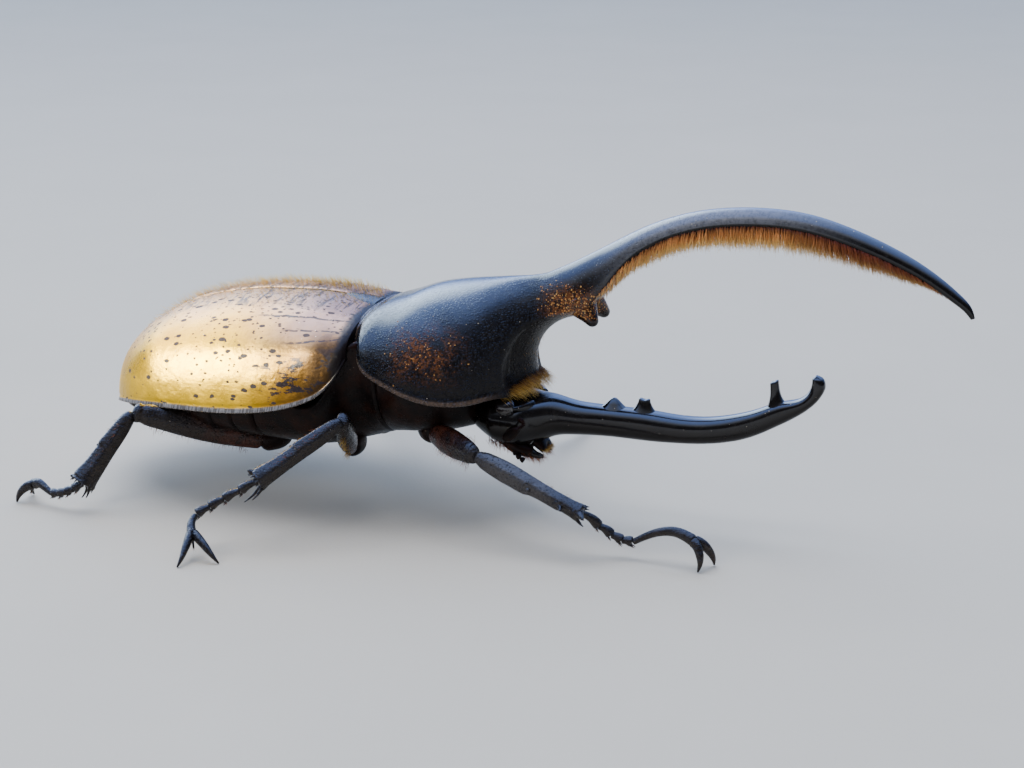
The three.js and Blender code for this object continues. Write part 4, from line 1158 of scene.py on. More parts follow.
# %% Down and combs of the wing cases
def wing_down(side):
    """Bristles of one wing case, denser and longer on the left."""
    rng = np.random.default_rng(31 + side)
    tries = 15000
    share = 0.02 + 0.93 * rng.random(tries)
    far = side > 0
    angle = np.clip(np.abs(rng.normal(size=tries)) * (0.22 if far else 0.16), 0.012, 0.9)
    rows, columns = 240, 80
    surface, _ = elytron_surface(np.linspace(0, 1, rows), np.linspace(0, np.pi / 2, columns))
    surface = mirrored(surface, -side)
    row = share * (rows - 1)
    column = angle / (np.pi / 2) * (columns - 1)
    r, c = row.astype(int), column.astype(int)
    behind = surface[r + 1, c] - surface[r, c]
    below = surface[r, c + 1] - surface[r, c]
    point = surface[r, c] + (row - r)[:, None] * behind + (column - c)[:, None] * below
    back = unit(behind)
    outward = unit(np.cross(back, below))
    outward *= np.sign(outward[:, 2:3])
    x = point[:, 0]
    dense = np.interp(-x, [0, 12, 25, 40, 50], [0.45, 0.75, 0.6, 0.3, 0.12])
    dense *= ramp(x, -50, -40) * ramp(x, 0.5, -3)
    kept = rng.random(tries) < dense * (0.24 if far else 0.12)
    point, back, outward, x, angle, share = (a[kept] for a in (point, back, outward, x, angle, share))
    lean = (0.45 if far else 0.7) + 0.3 * rng.normal(size=(len(x), 1))
    way = unit(back * lean + outward * 0.95 + 0.2 * rng.normal(size=point.shape))
    tall = (0.75 + 1.05 * rng.random(len(x))) * np.interp(angle, [0, 0.35, 0.9], [1.0, 0.75, 0.3])
    tall *= 1.3 if far else 0.6
    return patch_of_hairs(point - 0.05 * outward, way, 0.16 * back, tall, 0.045,
                          np.stack([share, 0.2 + angle / 8], axis=1), "golden hair")


def rim_comb(side):
    """A row of very short hairs along the rim."""
    rng = np.random.default_rng(41 + side)
    count = 560
    share = np.linspace(0.06, 0.985, count)
    surface, _ = elytron_surface(share, np.array([np.pi / 2]))
    point = mirrored(surface[:, 0], -side)
    out = np.tile(unit([0, side, 0.1]), (count, 1))
    back = unit(np.gradient(point, axis=0))
    out = unit(out - back * np.einsum("ij,ij->i", out, back)[:, None])
    way = unit(out * 0.8 + np.array([0, 0, -0.55]) + 0.25 * back + 0.1 * rng.normal(size=point.shape))
    tall = 0.14 + 0.1 * rng.random(count)
    return patch_of_hairs(point - 0.05 * out, way, (0, 0, -0.15), tall, 0.035,
                          np.stack([share, np.full(count, 0.9)], axis=1), "pale bristle")


for word, side in SIDES:
    grow(f"wing_down_{word}", [wing_down(side)], 34 + side, levels=3)
    grow(f"rim_comb_{word}", [rim_comb(side)], 44 + side, levels=3)

# %% [markdown]
# ### Bristles of mouth and legs
#
# Reddish and golden bristles fringe the mouth, and longer golden ones stand on the breast ahead of the
# front legs. The thighs carry fringes below, and stiff bristles stand in rows on the shins and under the
# foot segments.

# %% Mouth and leg bristles
# Fringes of the left side: the line they stand on, its spread, their way, fan, length, width, count,
# finish and seed.
MOUTH_FRINGES = [
    [[[26.4, 3.6, 11.4], [28.4, 2.6, 10.6], [29.4, 1.2, 10.6]], (0.5, 0.5, 0.4), (0.75, 0.15, -0.5),
     0.28, 1.5, 0.06, 320, "reddish bristle", 52],
    [[[29.6, 2.0, 11.4], [30.2, 0.3, 11.6]], (0.3, 0.5, 0.3), (1.0, 0.1, -0.15),
     0.2, 1.0, 0.05, 130, "tuft hair", 54],
    [[[21.0, 4.6, 13.4], [24.5, 4.2, 12.4], [27.0, 3.6, 11.6]], (0.5, 0.6, 0.4), (0.35, 0.3, -0.8),
     0.3, 1.3, 0.055, 260, "reddish bristle", 56],
]
BREAST_FRINGES = [
    [[[13.5, 6.8, 13.2], [16.5, 8.6, 12.6], [18.6, 7.4, 14.0]], (0.8, 0.8, 0.6), (0.4, 0.6, -0.5),
     0.35, 1.8, 0.06, 420, "tuft hair", 82],
]


def bristles(line, spread, way, fan, long, width, count, finish_name, seed, droop=(0, 0, -0.15)):
    """A patch of bristles rooted along a line through some points and fanned about one direction."""
    rng = np.random.default_rng(seed)
    share = rng.random(count)
    root = through(line, share) + np.asarray(spread) * rng.normal(size=(count, 3)) * 0.5
    ways = unit(way) + fan * rng.normal(size=(count, 3))
    tall = long * (0.6 + 0.6 * rng.random(count))
    droops = np.asarray(droop) + 0.08 * rng.normal(size=(count, 3))
    places = np.stack([share, rng.random(count)], axis=1)
    return patch_of_hairs(root, ways, droops, tall, width, places, finish_name)


def fringes(table, side):
    """The fringes of a table on one side."""
    return [
        bristles(mirrored(line, side), spread, mirrored(way, side), *rest, seed + side)
        for line, spread, way, *rest, seed in table
    ]


def stiff(line, spread, way, fan, long, width, count, seed):
    """Straight reddish bristles."""
    return bristles(line, spread, way, fan, long, width, count, "reddish bristle", seed, droop=(0, 0, 0))


def leg_bristles(leg, kind, seed):
    """Rows on the shin, a fringe under the thigh, spines under the foot and on its end pad."""
    hip, knee, ankle = (np.array(leg[bend], float) for bend in ("hip", "knee", "ankle"))
    ahead, outer, up = frame_of(knee, ankle)
    patches = []
    rows = [(25, 0.95), (-40, 0.8)] if kind != "fore" else [(-60, 0.7)]
    for number, (degrees, long) in enumerate(rows):
        way = up * np.cos(np.radians(degrees)) + outer * np.sin(np.radians(degrees))
        line = [knee + share * (ankle - knee) + 1.2 * way for share in (0.15, 0.93)]
        patches.append(stiff(line, 0.35, 0.8 * way + 0.9 * ahead, 0.14, long, 0.06, 46, seed + number))
    _, thigh_outer, thigh_up = frame_of(hip, knee)
    line = [hip + share * (knee - hip) - 1.9 * thigh_up for share in (0.1, 0.85)]
    colour = "tuft hair" if kind == "mid" else "reddish bristle"
    way = 0.35 * thigh_outer - 0.8 * thigh_up
    patches.append(bristles(line, 0.5, way, 0.25, 1.0, 0.05, 160, colour, seed + 2))
    stops = [ankle] + [np.array(stop, float) for stop in leg["joints"]]
    for number, (start, end) in enumerate(zip(stops[:-1], stops[1:])):
        along, aside, above = frame_of(start, end)
        spot = end - 0.3 * along - 0.6 * above
        line = [spot - 0.4 * aside, spot + 0.4 * aside]
        patches.append(stiff(line, 0.15, 0.9 * along - 0.7 * above, 0.2, 0.6, 0.05, 16, seed + 3 + number))
    last = np.array(leg["last"], float)
    way = unit(last[-1] - last[-2])
    pad = last[-1] + 0.5 * way - [0, 0, 1.0]
    line = [pad, pad + 0.1 * way]
    patches.append(stiff(line, 0.12, 0.6 * way - [0, 0, 0.8], 0.12, 1.1, 0.07, 7, seed + 8))
    return patches


grow("mouth_bristles", fringes(MOUTH_FRINGES, -1) + fringes(MOUTH_FRINGES, 1), 50)
for number, (name, leg) in enumerate(LEGS.items()):
    patches = leg_bristles(leg, name.split("_")[0], 100 + 20 * number)
    grow(f"bristles_{name}", patches, 61 + number, levels=3)
grow("breast_fringe", fringes(BREAST_FRINGES, -1) + fringes(BREAST_FRINGES, 1), 80)

# %% [markdown]
# ## Finishes
#
# Horn is the stuff of every part here: a dark base under a clear glossy skin, pitted or grained at a
# scale of tenths of a millimetre. Painted images could hold all that, but noise worked out from each
# point's own place has no seams and keeps its detail close up. The recipes below are written as sums on
# wires. A wire is the output of a node, and each sum on it adds one more node to the same tree.

# %% Wires between nodes
class Wire:
    """The output of a node, which can be added, subtracted and multiplied like a number."""

    def __init__(self, socket):
        self.socket = socket
        self.tree = socket.id_data

    def maths(self, operation, *others, clamp=False):
        """A Math node on this wire and others, which may be numbers."""
        node = add_node(self.tree, "ShaderNodeMath", operation=operation, use_clamp=clamp)
        for socket, value in zip(node.inputs, (self, *others)):
            give(socket, value)
        return Wire(node.outputs[0])

    def __add__(self, other):
        return self.maths("ADD", other)

    def __sub__(self, other):
        return self.maths("SUBTRACT", other)

    def __mul__(self, other):
        return self.maths("MULTIPLY", other)

    def __rsub__(self, other):
        return self * -1.0 + other


def add_node(tree, kind, **settings):
    """A node with its settings."""
    node = tree.nodes.new(kind)
    for name, value in settings.items():
        setattr(node, name, value)
    return node


def give(socket, value):
    """Gives an input a wire, a number, a place or a colour of three numbers."""
    if isinstance(value, Wire):
        value.tree.links.new(value.socket, socket)
    elif socket.type == "RGBA":
        socket.default_value = (*value, 1.0)
    else:
        socket.default_value = value


def fill(node, **values):
    """Gives a node's inputs their values. Underscores in the names stand for spaces."""
    for name, value in values.items():
        give(node.inputs[name.replace("_", " ")], value)
    return node


# %% [markdown]
# ### Sums that the recipes share
#
# A step turns a place or a noise into a mask with soft edges, and layers lay one colour over another by
# such masks. A relief piles up bumps from coarse to fine, each with its own depth in millimetres.

# %% Masks, places, noise and layers
def step(value, low, high, top=1.0):
    """Rises smoothly from 0 at low to top at high. low may be the larger of the two."""
    node = add_node(value.tree, "ShaderNodeMapRange", interpolation_type="SMOOTHSTEP")
    start, end = (0.0, top) if low < high else (top, 0.0)
    fill(node, Value=value, From_Min=min(low, high), From_Max=max(low, high), To_Min=start, To_Max=end)
    return Wire(node.outputs["Result"])


def close_to(value, middle, far, near):
    """1 where a value lies within near of its middle, and 0 beyond far."""
    return step((value - middle).maths("ABSOLUTE"), far, near)


def largest(first, *others):
    """The largest of several wires."""
    for other in others:
        first = first.maths("MAXIMUM", other)
    return first


def held(value):
    """A wire held between 0 and 1."""
    return value.maths("ADD", 0.0, clamp=True)


def vector_sum(first, operation, second):
    """A sum on a place or a colour."""
    node = add_node(first.tree, "ShaderNodeVectorMath", operation=operation)
    give(node.inputs[0], first)
    give(node.inputs["Scale" if operation == "SCALE" else 1], second)
    return Wire(node.outputs["Value" if operation == "DOT_PRODUCT" else "Vector"])


def axes(place):
    """The three numbers of a place or a colour."""
    node = add_node(place.tree, "ShaderNodeSeparateXYZ")
    give(node.inputs[0], place)
    return [Wire(output) for output in node.outputs]


def beetle_place(tree):
    """The place of the shaded point in the beetle's own frame, in millimetres."""
    where = Wire(add_node(tree, "ShaderNodeTexCoord").outputs["Object"])
    return vector_sum(vector_sum(where, "SUBTRACT", tuple(ORIGIN)), "SCALE", 1 / MM)


def facing_up(tree):
    """How far the surface looks up, from -1 to 1."""
    return axes(Wire(add_node(tree, "ShaderNodeNewGeometry").outputs["Normal"]))[2]


def stored(tree, name):
    """A number that is stored on the points of the mesh."""
    return Wire(add_node(tree, "ShaderNodeAttribute", attribute_name=name).outputs["Fac"])


def noise(place, scale, detail=3.0, rough=0.55, stretch=None):
    """Soft noise at so many waves per millimetre, on a place whose axes may be scaled."""
    if stretch:
        place = vector_sum(place, "MULTIPLY", stretch)
    node = add_node(place.tree, "ShaderNodeTexNoise")
    return Wire(fill(node, Vector=place, Scale=scale, Detail=detail, Roughness=rough).outputs["Fac"])


def scattered(place, per_mm, randomness=1.0):
    """The distance to the nearest of many scattered centres, and three random numbers of that centre."""
    node = add_node(place.tree, "ShaderNodeTexVoronoi", feature="F1")
    fill(node, Vector=place, Scale=per_mm, Randomness=randomness)
    return Wire(node.outputs["Distance"]), axes(Wire(node.outputs["Color"]))


def mixed(share, first, second):
    """Mixes two colours, each a wire or three numbers."""
    node = add_node(share.tree, "ShaderNodeMix", data_type="RGBA")
    for socket, value in zip((node.inputs[0], node.inputs[6], node.inputs[7]), (share, first, second)):
        give(socket, value)
    return Wire(node.outputs[2])


def layered(colour, *layers):
    """A colour with others laid over it, each by its own share."""
    for share, tone in layers:
        colour = mixed(share, colour, tone)
    return colour


def relief(*layers):
    """A normal from bumps, each a height and its depth in millimetres."""
    normal = None
    for height, depth in layers:
        node = add_node(height.tree, "ShaderNodeBump")
        fill(node, Height=height, Distance=depth * MM, Strength=1.0)
        if normal is not None:
            give(node.inputs["Normal"], normal)
        normal = Wire(node.outputs["Normal"])
    return normal


# %% [markdown]
# ### Node groups
#
# Four effects turn up in more than one finish, so each is a node group with named sockets. Pits and
# grains are both round spots scattered over the shell: near each centre the distance becomes a smooth
# dome, and a random number per centre drops some of them. No shell is equally glossy all over, since
# handling and dust cloud it in patches a few millimetres across. Dust lies thick only in specks, on faces
# that look up. Hair changes colour from root to tip, and no two hairs are quite alike.

# %% Four node groups
def new_group(name, results, **inputs):
    """A node group with named sockets: its tree, its inputs as wires and its output node."""
    group = bpy.data.node_groups.new(name, "ShaderNodeTree")
    for label, value in inputs.items():
        kind = "NodeSocketColor" if isinstance(value, tuple) else "NodeSocketFloat"
        socket = group.interface.new_socket(label.replace("_", " "), in_out="INPUT", socket_type=kind)
        socket.default_value = (*value, 1.0) if isinstance(value, tuple) else value
    for label in results:
        kind = "NodeSocketColor" if label == "Colour" else "NodeSocketFloat"
        group.interface.new_socket(label, in_out="OUTPUT", socket_type=kind)
    given = {output.name: Wire(output) for output in group.nodes.new("NodeGroupInput").outputs}
    return group, given, group.nodes.new("NodeGroupOutput")


def round_cells_group():
    """Domes scattered at random, and a random number for each."""
    tree, given, result = new_group(
        "round cells", ("Dome", "Random"), Cells_per_mm=2.0, Share=1.0, Radius=0.4)
    distance, (chance, size, random) = scattered(beetle_place(tree), given["Cells per mm"], 0.9)
    away = distance.maths("DIVIDE", given["Radius"] * (size * 0.7 + 0.55))
    dome = held(1.0 - away * away)
    fill(result, Dome=dome * chance.maths("LESS_THAN", given["Share"]), Random=random)
    return tree


def uneven_gloss_group():
    """Roughness that wanders between two values in patches and fine scratches."""
    tree, given, result = new_group(
        "uneven gloss", ("Roughness",), Glossiest=0.12, Dullest=0.35, Patches_per_mm=0.2)
    place = beetle_place(tree)
    patches = noise(place, given["Patches per mm"], 5.0, 0.65)
    share = step(noise(place, 3.5, 2.0) * 0.25 + patches, 0.42, 0.84)
    fill(result, Roughness=share * (given["Dullest"] - given["Glossiest"]) + given["Glossiest"])
    return tree


def dust_group():
    """A mask of pale specks and a thin film that lie on the upper faces."""
    tree, given, result = new_group("dust", ("Mask",), Amount=0.3)
    place = beetle_place(tree)
    distance, (chance, _, _) = scattered(place, 1.7)
    specks = step(distance, 0.17, 0.1) * chance.maths("LESS_THAN", given["Amount"] * 0.25)
    film = step(noise(place, 0.5, 6.0, 0.7), 0.5, 0.8) * 0.18 * given["Amount"]
    fill(result, Mask=held(largest(specks, film) * step(facing_up(tree), -0.4, 0.5)))
    return tree


def hair_colour_group():
    """A hair's colour from root to tip, and another one laid over the roots ahead on the horn."""
    tree, given, result = new_group(
        "hair colour", ("Colour", "Roughness"), Root=(0.1, 0.05, 0.02), Middle=(0.5, 0.3, 0.1),
        Tip=(0.9, 0.6, 0.2), Ahead=(0.1, 0.05, 0.02), Share_ahead=0.0)
    along, shade = stored(tree, "along"), stored(tree, "shade")
    horn = step(axes(beetle_place(tree))[0], 66, 82) * given["Share ahead"]
    colour = layered(
        mixed(step(along, 0.0, 0.45), given["Root"], given["Middle"]),
        (step(along, 0.4, 0.95), given["Tip"]),
        (horn * step(along, 1.3, 0.5), given["Ahead"]),
    )
    fill(result, Colour=vector_sum(colour, "SCALE", shade * 0.75 + 0.5), Roughness=shade * 0.2 + 0.32)
    return tree


ROUND_CELLS = round_cells_group()
UNEVEN_GLOSS = uneven_gloss_group()
DUST = dust_group()
HAIR_COLOUR = hair_colour_group()
print("groups:", [group.name for group in bpy.data.node_groups])


# %% Use the groups in a finish
def finish(name):
    """An empty material's tree and its shader."""
    material = bpy.data.materials.get(name) or bpy.data.materials.new(name)
    material.use_nodes = True
    return material.node_tree, material.node_tree.nodes["Principled BSDF"]


def use_group(tree, group, **values):
    """The results of a group as wires."""
    node = fill(add_node(tree, "ShaderNodeGroup", node_tree=group), **values)
    return {output.name: Wire(output) for output in node.outputs}


def round_cells(tree, per_mm, share, radius):
    """Domes and random numbers of round spots."""
    return use_group(tree, ROUND_CELLS, Cells_per_mm=per_mm, Share=share, Radius=radius)


def uneven_gloss(tree, glossiest, dullest, patches_per_mm):
    """A clouded roughness."""
    values = {"Glossiest": glossiest, "Dullest": dullest, "Patches_per_mm": patches_per_mm}
    return use_group(tree, UNEVEN_GLOSS, **values)["Roughness"]


def dust_on(tree, amount):
    """The mask of the dust."""
    return use_group(tree, DUST, Amount=amount)["Mask"]


# %% [markdown]
# ### Black shell
#
# The shield and both horns are black. Their upper faces are smooth and mirror the sky. The flanks of the
# shield are pebbled with fine grains, most of all behind, and the root of the horn is pitted so densely
# that its shine breaks up. Rust-coloured grains sit low on the flank and round the teeth, a bluish grey
# painted sheen lies on the upward faces of the horn's back, and the rim is worn brown. The clear skin is
# thick on the faces that look up, and worn off the flank, the hind part and the undersides.

# %% Black shell
def black_shell():
    """The finish of the shield, both horns and the small black parts."""
    tree, shader = finish("black shell")
    place = beetle_place(tree)
    x, y, z = axes(place)
    wander = noise(place, 0.22)
    fine = noise(place, 1.6, 4.0, 0.7)
    facing = facing_up(tree)

    slope = z - x * 0.42 + (wander - 0.5) * 6.0 + fine * 2.4
    on_shield = step(x, 36, 28) * step(z, 20.6, 21.6)
    flank = step(slope, 33.5, 25.5) * on_shield
    grained = step(slope, 39.5, 30.0) * on_shield * (step(x, 17, 3) * 0.6 + 0.4)
    hind = step(x, 11, 2) * on_shield
    root = step(x, 24, 33) * step(x, 66, 44) * step(z, 27, 31)
    grains = round_cells(tree, 2.3, 0.9, 0.5)["Dome"]
    small = round_cells(tree, 4.6, 0.8, 0.45)["Dome"]
    pits = round_cells(tree, 2.6, 0.85, 0.36)["Dome"]
    tiny = round_cells(tree, 1.5, 0.4, 0.12)["Dome"]
    height = (small * 0.4 + grains) * (hind * 1.6 + grained) - pits * root - tiny * 0.4

    # Rusty bloom: a patch on the flank and a stronger one round the teeth, broken up by black grains.
    patch = close_to(x, 13.5, 8.5, 1.0) * close_to(z, 30.2, 6.2, 0.5) * step(y.maths("ABSOLUTE"), 9, 13)
    tooth_patch = close_to(x, 36.0, 7.5, 1.0) * close_to(z, 37.6, 4.8, 0.8) * step(z, 34.8, 36.8)
    cloud = step(noise(place, 0.35, 4.0, 0.7), 0.36, 0.64)
    worm = step(noise(place, 2.4, 1.0, 0.4), 0.44, 0.56)
    bloom = largest(patch * cloud, tooth_patch * 0.9) * (worm * 0.85 + 0.15)
    rust = round_cells(tree, 3.0, largest(tooth_patch * 0.95, bloom * 0.4), 0.5)
    rusty = step(rust["Dome"], 0.2, 0.6)

    # Painted sheen: a bluish grey on the upward faces of the horn's back stands in for the sky mirrored
    # there.
    painted_sheen = step(x, 36, 52) * step(x, 86, 62) * step(z, 36, 44) * step(facing, -0.22, 0.25)
    worn = stored(tree, "rim") * (step(fine, 0.35, 0.6) * 0.5 + 0.5)
    dust = dust_on(tree, 0.25)
    colour = layered(
        mixed(wander, (0.0030, 0.0028, 0.0034), (0.0065, 0.0045, 0.0042)),
        (painted_sheen * (step(fine, 0.3, 0.6) * 0.5 + 0.5), (0.14, 0.15, 0.19)),
        (worn * 0.8, (0.115, 0.080, 0.062)),
        (bloom * 0.85, (0.17, 0.060, 0.018)),
        (rusty * 0.85, mixed(rust["Random"], (0.38, 0.14, 0.04), (0.62, 0.36, 0.13))),
        (dust, (0.42, 0.38, 0.33)),
    )
    dull = largest(dust, rusty, bloom)
    clear = step(facing, -0.35, 0.45, 0.9) * (1.0 - flank) * (1.0 - hind * 0.45) - dull * 0.6
    fill(
        shader,
        Base_Color=colour,
        Normal=relief((height, 0.26), (wander, 0.16), (fine, 0.006)),
        Roughness=held(flank * 0.10 + uneven_gloss(tree, 0.16, 0.28, 0.18) + dull * 0.25),
        Coat_Weight=held(clear),
        Coat_Roughness=0.1,
        Specular_IOR_Level=0.24,
    )


black_shell()

# %% [markdown]
# ### Wing cases
#
# The gold of the wing cases is horn stained yellow under a clear skin. Every one is different: dark dots,
# thicker on the back, ragged blots near the lower front corner, three broken lines at the base and fine
# strokes across the ridge. The seam, the base and the rim are dark, and the gold turns brown towards the
# shoulder. The upper part is tinted pinkish as a painted reflection of the sky, and the darker upper front
# part has a violet cast that is a painted reflection too. The dry shell mirrors light in its own gold,
# which a share of metal imitates.

# %% Wing case
def dots_on(place, per_mm, keep, size, lengthwise):
    """A mask of ragged dark dots. keep is the share of centres that have one."""
    distance, (chance, bigger, _) = scattered(vector_sum(place, "MULTIPLY", (lengthwise, 1.0, 1.0)), per_mm)
    away = noise(place, 2.2) * 0.22 - 0.11 + distance
    limit = bigger * (0.8 * size) + 0.45 * size
    return step(limit - away, 0.0, 0.06) * chance.maths("LESS_THAN", keep)


def wing_marks(place, down):
    """The dots alone, and all the dark marks of a wing case together."""
    x = axes(place)[0]
    density = (step(down, 0.95, 0.3) * 0.62 + 0.22) * step(noise(place, 0.085, 2.0), 0.3, 0.58)
    dots = largest(
        dots_on(place, 0.62, density * 0.8, 0.29, 0.6),
        dots_on(place, 0.85, density, 0.31, 0.6),
        dots_on(place, 1.6, density * 0.7, 0.33, 0.7),
    )
    blots = noise(place, 0.42, 5.0, 0.62, stretch=(0.7, 1.0, 1.5))
    blots = step(blots, 0.545, 0.575) * step(x, -19, -11) * step(down, 0.6, 0.78)
    bent = noise(place, 0.3, 2.0) * 0.05 + (down - 0.025)
    lines = largest(*(
        close_to(bent, level, 0.011, 0.005) * step(x, start - 3, start + 2)
        for level, start in ((0.350, -17.0), (0.478, -11.0), (0.585, -10.0))
    ))
    lines = lines * step(noise(place, 1.1), 0.36, 0.46)
    strokes = noise(place, 1.3, 3.0, 0.6, stretch=(1.0, 0.13, 0.4))
    strokes = step(strokes, 0.50, 0.59) * step(down, 0.30, 0.15) * step(x, -58, -20, 0.9)
    return dots, largest(dots, blots, lines, strokes)


def wing_case():
    """The gold finish with its dark marks."""
    tree, shader = finish("wing case")
    place = beetle_place(tree)
    x, y, _ = axes(place)
    down = stored(tree, "down")
    wander = noise(place, 0.12, 4.0, 0.6)
    fine = noise(place, 1.2, 5.0, 0.65)
    lower = step(down, 0.45, 0.95)
    dots, marks = wing_marks(place, down)
    rim = step(down, 0.984, 0.992)
    dark = largest(step(y.maths("ABSOLUTE"), 0.5, 0.22), rim, step(wander * 2.4 + x, -1.4, -0.2))
    ticks = step(noise(place, 3.2, 1.0, stretch=(1.0, 0.12, 0.12)), 0.44, 0.56)
    band = rim * step(down, 1.016, 1.004) * step(x, -1, -7) * (ticks * 0.6 + 0.4)
    dust = dust_on(tree, 0.1)
    colour = layered(
        mixed(step(wander, 0.35, 0.68), (0.54, 0.28, 0.0), (0.74, 0.42, 0.0)),
        (lower * 0.7, (0.62, 0.39, 0.0)),
        # Painted reflection: a pinkish tone on the upper part stands in for the sky mirrored on the gold.
        (step(down, 0.6, 0.1) * 0.7, (0.56, 0.30, 0.15)),
        # The upper front part is darker, and its violet cast is a painted reflection of the sky.
        (step(x, -24, -8) * step(down, 0.8, 0.5) * 0.75, (0.15, 0.11, 0.16)),
        (step(x, -22, -9) * step(down, 0.4, 0.75) * 0.9, (0.13, 0.055, 0.006)),
        (step(x, -10, -4) * step(down, 0.3, 0.7) * 0.85, (0.022, 0.011, 0.006)),
        (step(fine, 0.5, 0.75, 0.35), (0.27, 0.12, 0.014)),
        (marks * 0.96, (0.020, 0.012, 0.020)),
        (dark, (0.011, 0.008, 0.009)),
        (band, (0.32, 0.32, 0.36)),
        (dust, (0.55, 0.5, 0.42)),
    )
    plain = 1.0 - largest(dark, marks * 0.9)
    creases = noise(place, 1.5, 3.0, 0.6, stretch=(0.5, 1.6, 1.6))
    pores = round_cells(tree, 1.9, 0.35, 0.1)["Dome"]
    fill(
        shader,
        Base_Color=colour,
        Metallic=plain * (lower * 0.15 + 0.35),
        Normal=relief((wander, 0.35), (creases, 0.022), (pores, -0.03)),
        Roughness=largest(dust, dots) * 0.3 + uneven_gloss(tree, 0.26, 0.42, 0.15),
        Coat_Weight=0.04,
        Coat_Roughness=0.12,
        Specular_IOR_Level=0.14,
    )


wing_case()

# %% [markdown]
# ### Brown shell, legs and eyes
#
# The underside and the mouth are brown-black and duller. The legs are black and coarsely pitted with a
# steely front shin, and their thighs shine through reddish near the body. An eye is black glass under a
# fine net of facets.

# %% Brown shell, legs and eyes
def brown_shell():
    """The dull finish of the underside, the hips, the feelers and the mouth."""
    tree, shader = finish("brown shell")
    place = beetle_place(tree)
    wander = noise(place, 0.35, 4.0, 0.6)
    pits = round_cells(tree, 1.8, 0.6, 0.3)["Dome"]
    brown = mixed(step(wander, 0.35, 0.7), (0.0045, 0.0030, 0.0030), (0.016, 0.0060, 0.004))
    fill(
        shader,
        Base_Color=mixed(dust_on(tree, 0.25), brown, (0.3, 0.24, 0.19)),
        Normal=relief((pits, -0.06), (noise(place, 2.2, 4.0), 0.03)),
        Roughness=uneven_gloss(tree, 0.24, 0.45, 0.4),
        Specular_IOR_Level=0.12,
    )


def leg_shell():
    """The pitted finish of thighs, shins and feet."""
    tree, shader = finish("leg shell")
    place = beetle_place(tree)
    x, y, _ = axes(place)
    wander = noise(place, 0.5, 4.0, 0.6)
    pits = round_cells(tree, 2.4, 0.7, 0.38)["Dome"]
    silver = step(x, 22, 28) * step(x, 41, 34) * (1.0 - pits) * 0.6
    reddish = step(y.maths("ABSOLUTE"), 18.5, 12.0) * step(wander, 0.3, 0.6)
    colour = layered(
        mixed(wander, (0.0040, 0.0038, 0.0048), (0.010, 0.0080, 0.0085)),
        (silver, (0.06, 0.062, 0.072)),
        (reddish, (0.05, 0.014, 0.008)),
        (dust_on(tree, 0.25), (0.4, 0.35, 0.3)),
    )
    creases = noise(place, 1.4, 3.0, 0.6, stretch=(0.6, 1.0, 1.4))
    fill(
        shader,
        Base_Color=colour,
        Normal=relief((pits, -0.15), (noise(place, 4.5, 4.0, 0.6), 0.03), (creases, 0.22), (wander, 0.35)),
        Roughness=uneven_gloss(tree, 0.18, 0.36, 0.5),
        Coat_Weight=step(facing_up(tree), -0.5, 0.5, 0.28),
        Coat_Roughness=0.12,
        Specular_IOR_Level=0.4,
        Specular_Tint=(1.0, 0.86, 0.78),
    )


def eye_glass():
    """The finish of the eyes."""
    tree, shader = finish("eye")
    facets = round_cells(tree, 11.0, 1.0, 0.75)
    fill(
        shader,
        Base_Color=mixed(facets["Random"], (0.006, 0.005, 0.007), (0.014, 0.009, 0.008)),
        Normal=relief((facets["Dome"], 0.006)),
        Roughness=uneven_gloss(tree, 0.05, 0.14, 1.0),
        Coat_Weight=1.0,
    )


brown_shell()
leg_shell()
eye_glass()

# %% [markdown]
# ### Hair
#
# The share of its length and a random shade are stored on every hair when it is grown, so one group
# serves all of them with other colours. Ahead on the horn the roots of the brush are darker and redder.

# %% Hair
HAIRS = {
    "brush hair": {"Root": (0.20, 0.055, 0.030), "Middle": (0.82, 0.36, 0.12), "Tip": (1.0, 0.66, 0.20),
                   "Ahead": (0.17, 0.030, 0.020), "Share_ahead": 0.8},
    "tuft hair": {"Root": (0.13, 0.055, 0.012), "Middle": (0.42, 0.22, 0.035), "Tip": (0.80, 0.55, 0.15)},
    "golden hair": {"Root": (0.42, 0.22, 0.02), "Middle": (0.92, 0.58, 0.05), "Tip": (1.0, 0.84, 0.22)},
    "reddish bristle": {"Root": (0.05, 0.014, 0.006), "Middle": (0.20, 0.05, 0.014),
                        "Tip": (0.42, 0.14, 0.035)},
    "pale bristle": {"Root": (0.16, 0.12, 0.09), "Middle": (0.42, 0.36, 0.30), "Tip": (0.60, 0.54, 0.46)},
}

for name, colours in HAIRS.items():
    tree, shader = finish(name)
    hair = use_group(tree, HAIR_COLOUR, **colours)
    fill(shader, Base_Color=hair["Colour"], Roughness=hair["Roughness"], Specular_IOR_Level=0.4)
print("materials:", [material.name for material in bpy.data.materials])

# %% [markdown]
# ## Floor and light
#
# A wide sheet of pale card is the floor. For matt surfaces the sky is a soft dome, brightest on the left
# and a little behind, with a weak lamp overhead and another on the right. What the shell mirrors matters
# more, so glossy surfaces see a sky of their own, with three brighter parts on the left and above, while
# the side towards the camera stays dark. Two more lamps draw the broad highlights of the gold. They are
# linked to the wing cases alone, because the black shell would turn grey under them.

# %% Floor
FLOOR_REACH = 14.0  # metres from the middle to each side


